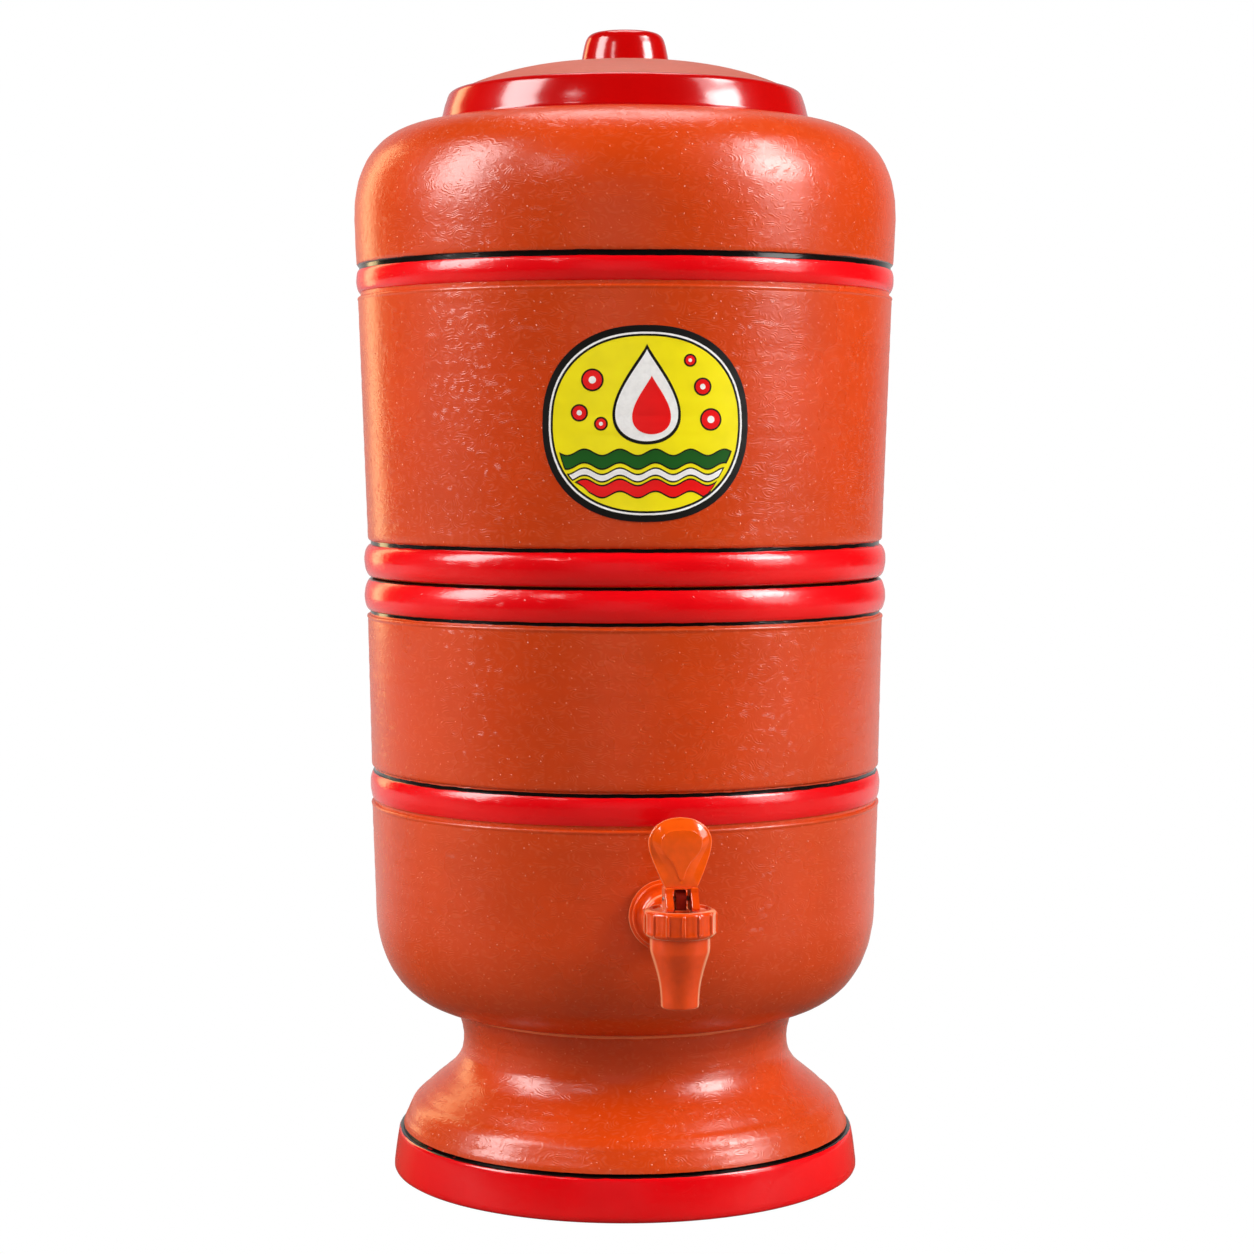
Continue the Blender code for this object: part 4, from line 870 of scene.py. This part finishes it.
collar_rings = []
for height, inset, groove in collar_rows:
    radii = [collar_radius - inset - groove * rib_face(angle) for angle in collar_angles]
    collar_rings.append([(r * math.cos(a), r * math.sin(a), height) for r, a in zip(radii, collar_angles)])
for radius, height in (
    (13.50, 10.50),
    (13.25, 10.20),
    (13.15, 9.60),
    (12.95, 9.33),
    (12.55, 9.25),
    (6.00, 9.25),
    (gland_radius, 9.25),
    (gland_radius, 6.30),
    (14.00, 6.30),
    (14.00, -1.50),
    (14.25, -1.80),
):
    collar_rings.append([(radius * math.cos(a), radius * math.sin(a), height) for a in collar_angles])
guide_plan = ((-3.2, -5.0), (3.2, -5.0), (3.2, 5.0), (-3.2, 5.0))
guide = skin([[(x, y, z) for x, y in guide_plan] for z in (8.6, guide_top)])
bmesh.ops.bevel(guide, geom=guide.edges[:], offset=0.2, segments=2, affect="EDGES")
moulded(
    "tap_collar_moulding",
    skin(collar_rings, chain=True),
    [("UNION", guide), ("DIFFERENCE", round_bar([(gland_radius, 8.0), (gland_radius, 12.0)], 32))],
    orange_plastic,
    "lower_vessel",
    "tap_collar_nut",
)


# Lever
# A thumb paddle with a raised pad in the shape of a drop, on a clevis with two cam feet. The feet have
# the outline of an involute, so the stem rises by cam_lift for each radian.

shoulder_rise = pin_rise + 5.3
pin_hole_radius = 1.3
cam_reach = 5.4
cam_lift = 4.8
pad_front = -4.35
paddle_half = [(x, 0) for x in np.linspace(0, 6.7, 5)] + curve_path(
    [
        (7.25, 0.1),
        (9.0, 3.9),
        (10.5, 7.2),
        (11.9, 10.6),
        (13.2, 14.0),
        (14.05, 17.1),
        (14.4, 20.4),
        (13.9, 23.0),
        (12.3, 26.1),
        (9.6, 28.5),
        (5.5, 30.5),
        (0, 31.3),
    ]
)
pad_half = curve_path(
    [
        (0, 3.4),
        (0.5, 3.9),
        (1.1, 5.0),
        (1.75, 7.2),
        (2.8, 9.6),
        (4.4, 12.1),
        (6.8, 14.6),
        (8.4, 17.0),
        (9.15, 19.7),
        (8.85, 22.1),
        (8.1, 23.5),
        (6.6, 24.8),
        (4.0, 25.8),
        (0, 26.1),
    ]
)
bevel_half = curve_path(
    [
        (0, 1.6),
        (1.8, 1.9),
        (4.2, 3.6),
        (6.3, 7.2),
        (7.9, 10.4),
        (9.6, 13.6),
        (11.2, 16.6),
        (12.5, 19.4),
        (12.75, 21.6),
        (11.9, 24.3),
        (9.5, 27.4),
        (6.4, 29.2),
        (3.2, 30.0),
        (0, 30.2),
    ]
)


def sunk(height):
    """How far the paddle's border lies behind its pad, at a height above the clevis."""
    share = min(1, max(0, (height - 1.5) / 17.0))
    return 3.1 * share * share * (3 - 2 * share)


def even_outline(half, count=48):
    """The whole outline of a shape from its right half, with points at even distances."""
    steps = [0.0]
    for first, second in zip(half, half[1:]):
        steps.append(steps[-1] + math.dist(first, second))
    places = np.linspace(0, steps[-1], count)
    across = np.interp(places, steps, [x for x, z in half])
    up = np.interp(places, steps, [z for x, z in half])
    right = list(zip(across, up))
    return right + [(-x, z) for x, z in right[-2:0:-1]]


def inset_outline(outline, inset):
    """The outline moved inwards."""
    moved = []
    for index, (x, z) in enumerate(outline):
        before = outline[index - 1]
        after = outline[(index + 1) % len(outline)]
        along = Vector((after[0] - before[0], after[1] - before[1])).normalized()
        moved.append((x - inset * along.y, z + inset * along.x))
    return moved


paddle_outline = even_outline(paddle_half)
pad_outline = even_outline(pad_half)
bevel_outline = even_outline(bevel_half)
paddle_rings = []
for inset, depth in ((1.0, 2.00), (0.35, 1.85), (0.0, 1.40)):
    paddle_rings.append([(x, depth, shoulder_rise + z) for x, z in inset_outline(paddle_outline, inset)])
for outline, inset, behind in (
    (paddle_outline, 0.0, 0.95),
    (paddle_outline, 0.12, 0.60),
    (paddle_outline, 0.40, 0.36),
    (paddle_outline, 0.80, 0.28),
    (bevel_outline, -0.20, 0.28),
    (bevel_outline, 0.15, 0.10),
):
    paddle_rings.append(
        [(x, pad_front + sunk(z) + behind, shoulder_rise + z) for x, z in inset_outline(outline, inset)]
    )
for inset, behind in ((-0.42, 0.46), (-0.26, 0.44), (-0.10, 0.10), (0.02, 0.02), (0.20, 0.0)):
    ring = inset_outline(pad_outline, inset)
    paddle_rings.append([(x, pad_front + behind, shoulder_rise + z) for x, z in ring])
leg_side = []
for turn in np.linspace(0, math.radians(37.8), 14):
    reach = cam_reach + cam_lift * turn
    out = -reach * math.sin(turn) - cam_lift * math.cos(turn)
    up = -reach * math.cos(turn) + cam_lift * math.sin(turn)
    leg_side.append((out, up))
leg_side += [(-8.6, -2.4), (-7.9, -1.4), (-4.9, 2.9), (-4.7, 3.6), (-4.7, 5.0), (-4.35, 5.45)]
leg_side += [(4.2, 5.45), (4.7, 5.0), (4.7, -4.4), (4.4, -5.1), (3.7, -5.4)]
legs = []
for left, right in ((-7.6, -4.0), (4.0, 7.6)):
    leg = skin([[(x, y, pin_rise + z) for y, z in leg_side] for x in (left, right)])
    crease = [edge for edge in leg.edges if edge.calc_face_angle(0) > 1.2]
    bmesh.ops.bevel(leg, geom=crease, offset=0.35, segments=3, affect="EDGES")
    legs.append(leg)
roof_plan = ((-5, -4.5), (5, -4.5), (5, 4.3), (-5, 4.3))
roof = skin([[(x, y, pin_rise + z) for x, y in roof_plan] for z in (4.75, 5.45)])
along_pin = Matrix.Translation((0, 0, pin_rise)) @ Matrix.Rotation(math.pi / 2, 4, "Y")
lever = moulded(
    "tap_lever_moulding",
    skin(paddle_rings),
    [
        ("UNION", roof),
        ("UNION", legs[0]),
        ("UNION", legs[1]),
        ("DIFFERENCE", round_bar([(pin_hole_radius, -9), (pin_hole_radius, 9)], 32, along_pin)),
    ],
    lit_lever_plastic,
    "tap_lever",
    "tap_lever",
)
# The paddle keeps the lighter copy as painted light. The clevis below its shoulder takes the body's darker
# orange as painted shade.
lever.data.materials.append(orange_plastic)
lever.data.materials.append(stem_and_shade_plastic)
clevis_top = shank_height + 0.001 * (shoulder_rise - 0.1)
# The legs' faces that look into the slot between them take the dark moulding as painted shade.
for face in lever.data.polygons:
    if face.center.z < clevis_top:
        shaded_between_legs = abs(face.center.x) < 0.0045 and abs(face.normal.x) > 0.8
        face.material_index = 2 if shaded_between_legs else 1


# Stem and pin
# A dark red stem with a flat eye between the legs, on a short steel pin with domed ends. The eye ends
# just above the collar nut's low block. The back nut, washers and seat cup keep their CAD shape.

stem_radius = 2.3
eye_radius = 4.0
eye_foot = -4.5
eye_turns = np.linspace(math.pi, 0, 25)
eye_side = [(eye_radius * math.cos(turn), eye_radius * math.sin(turn)) for turn in eye_turns]
eye_side = [(-eye_radius, eye_foot)] + eye_side + [(eye_radius, eye_foot)]
eye = skin([[(x, y, pin_rise + z) for y, z in eye_side] for x in (-stem_radius, stem_radius)])
moulded(
    "tap_stem_moulding",
    eye,
    [
        ("UNION", round_bar([(stem_radius, -14.2), (stem_radius, pin_rise - 4.0)], 32)),
        ("DIFFERENCE", round_bar([(pin_hole_radius, -4), (pin_hole_radius, 4)], 32, along_pin)),
    ],
    stem_and_shade_plastic,
    "tap_valve",
    "tap_stem",
)
pin_shape = [(0.5, -8.1), (0.85, -7.95), (1.0, -7.6), (1.0, 7.6), (0.85, 7.95), (0.5, 8.1)]
moulded(
    "tap_pin_steel",
    round_bar(pin_shape, 32, along_pin),
    [],
    finishes["float_pin"],
    "tap_valve",
    "tap_pivot_pin",
)

for name, finish in (
    ("tap_back_nut", orange_plastic),
    ("tap_outer_washer", finishes["candle_top_washer"]),
    ("tap_inner_washer", finishes["candle_top_washer"]),
    ("tap_seat_cup", finishes["candle_base"]),
):
    cad_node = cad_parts[name]
    cad_node.data.materials.clear()
    cad_node.data.materials.append(finish)


# Badge
# A fired-on transfer on the front of the upper vessel, of thin enamel layers: an oval with a dark
# border, and on its yellow field a water drop with splashes above three waves. Places on it are in mm
# across and up from its middle, and heights of the layers in mm out from the wall.

badge_turn = math.radians(-93.8)
badge_height = 376.0
badge_fullness = 2.25
in_wall = -0.6
in_field = 0.10
badge_print = bmesh.new()
inks = [
    plain_finish("transfer_black", (0.0015, 0.0015, 0.0015), 0.42),
    plain_finish("transfer_white", (0.98, 0.98, 0.98), 0.40),
    plain_finish("transfer_yellow", (1.0, 0.86, 0.0), 0.40, grain=60.0),
    plain_finish("transfer_red", (0.90, 0.002, 0.003), 0.36, grain=60.0),
    plain_finish("transfer_green", (0.006, 0.110, 0.008), 0.40, grain=60.0),
]
black_ink, white_ink, yellow_ink, red_ink, green_ink = range(5)


def on_wall(across, up, out):
    """The place on the vessel's wall at a distance across and up from the badge's middle, in mm."""
    height = badge_height + up
    share = (height - upper_wall_foot[1]) / (upper_wall_head[1] - upper_wall_foot[1])
    radius = upper_wall_foot[0] + (upper_wall_head[0] - upper_wall_foot[0]) * share
    angle = badge_turn + across / radius
    radius += throwing_marks(angle, height) + out
    return (radius * math.cos(angle) * 0.001, axis_y + radius * math.sin(angle) * 0.001, height * 0.001)


def lay_ink(rows, ink, low, high, ring=True):
    """A thin layer between rows of (across, up) points. In a ring each row closes on itself."""
    faces = []
    sides = []
    for out in (high, low):
        grid = []
        for row in rows:
            if max(math.dist(point, row[0]) for point in row) < 0.01:
                grid.append([badge_print.verts.new(on_wall(*row[0], out))] * len(row))
            else:
                grid.append([badge_print.verts.new(on_wall(*point, out)) for point in row])
        sides.append(grid)
        for lower, upper in zip(grid, grid[1:]):
            for index in range(len(lower) - (0 if ring else 1)):
                after = (index + 1) % len(lower)
                faces.append([lower[index], lower[after], upper[after], upper[index]])
    top, bottom = sides
    edges = [(top[0], bottom[0]), (top[-1], bottom[-1])]
    if not ring:
        edges += [([row[end] for row in top], [row[end] for row in bottom]) for end in (0, -1)]
    for upper, lower in edges:
        closed = ring and upper[0] is not upper[-1]
        for index in range(len(upper) - (0 if closed else 1)):
            after = (index + 1) % len(upper)
            if upper[index] is not upper[after]:
                faces.append([upper[index], upper[after], lower[after], lower[index]])
    for corners in faces:
        face = badge_print.faces.new(list(dict.fromkeys(corners)))
        face.material_index = ink


def fill_shape(outline, middle, ink, low, high):
    """Fill an outline with a layer that fans out from a point inside it."""
    row_spacing = 2.4
    rows = max(2, math.ceil(max(math.dist(point, middle) for point in outline) / row_spacing))
    shares = [1 - row / rows for row in range(rows + 1)]
    across, up = middle
    fan = [[(across + (x - across) * t, up + (z - up) * t) for x, z in outline] for t in shares]
    lay_ink(fan, ink, low, high)


def oval(half_width, half_height):
    """A slightly squared oval round the badge's middle."""
    count = 120
    points = []
    for step in range(count):
        angle = 2 * math.pi * step / count
        x = math.copysign(abs(math.cos(angle)) ** (2 / badge_fullness), math.cos(angle))
        z = math.copysign(abs(math.sin(angle)) ** (2 / badge_fullness), math.sin(angle))
        points.append((half_width * x, half_height * z))
    return points


def water_drop(x, z, half_width, half_height):
    """A hanging water drop round (x, z), with its tip up."""
    turns = [2 * math.pi * step / 72 for step in range(72)]
    return [
        (x + 1.3 * half_width * math.sin(turn) * math.sin(turn / 2) ** 1.4, z + half_height * math.cos(turn))
        for turn in turns
    ]


borders = [oval(48.5 - inset, 45.0 - inset) for inset in (0.0, 3.1, 4.0, 5.0)]
for outer, inner, ink, high in (
    (borders[0], borders[1], black_ink, 0.26),
    (borders[1], borders[2], white_ink, 0.30),
    (borders[2], borders[3], black_ink, 0.26),
):
    between = [((a + c) / 2, (b + d) / 2) for (a, b), (c, d) in zip(outer, inner)]
    lay_ink([outer, between, inner], ink, in_wall, high)
fill_shape(borders[3], (0, 0), yellow_ink, in_wall, 0.22)

field_half_width = 43.0
field_half_height = 39.9
wave_rise = 1.5
wave_spacing = 2.6
wave_end_gap = 1.8
for middle, thickness, ink in ((-16.2, 5.4, green_ink), (-23.4, 2.6, white_ink), (-29.6, 4.8, red_ink)):
    for spare, wave_ink, high in ((0.75, black_ink, 0.28), (0.0, ink, 0.34)):
        rows = []
        for row in range(4):
            level = middle + (thickness / 2 + spare) * (row / 1.5 - 1)
            share = 1 - (abs(level) / field_half_height) ** badge_fullness
            reach = field_half_width * share ** (1 / badge_fullness) - wave_end_gap + spare
            places = [reach * (2 * step / 64 - 1) for step in range(65)]
            rows.append([(x, level + wave_rise * math.sin(x / wave_spacing)) for x in places])
        lay_ink(rows, wave_ink, in_field, high, ring=False)

fill_shape(water_drop(0, 13.5, 17.0, 23.0), (0, 6), black_ink, in_field, 0.28)
fill_shape(water_drop(0, 13.0, 15.6, 21.0), (0, 6), white_ink, in_field, 0.34)
fill_shape(water_drop(2.2, 8.6, 9.6, 13.4), (2.2, 4), red_ink, in_field, 0.40)
splashes = ((-25, 20, 4.4), (-31, 5, 3.2), (-21, 0, 2.4), (26, 17, 3.4), (30, 2, 4.4), (20, 29, 2.2))
for x, z, radius in splashes:
    for spare, ink, high in ((0.8, black_ink, 0.28), (0.0, red_ink, 0.34), (-radius * 0.62, white_ink, 0.40)):
        turns = [2 * math.pi * step / 36 for step in range(36)]
        reach = radius + spare
        splash = [(x + reach * math.cos(turn), z + reach * math.sin(turn)) for turn in turns]
        fill_shape(splash, (x, z), ink, in_field, high)
bmesh.ops.recalc_face_normals(badge_print, faces=badge_print.faces)
badge_mesh = bpy.data.meshes.new("badge_transfer")
badge_print.to_mesh(badge_mesh)
badge_print.free()
badge = bpy.data.objects.new("badge_transfer", badge_mesh)
bpy.context.scene.collection.objects.link(badge)
for ink in inks:
    badge_mesh.materials.append(ink)
badge_mesh.shade_smooth()
badge_mesh.set_sharp_from_angle(angle=math.radians(30))
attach(badge, "upper_vessel")
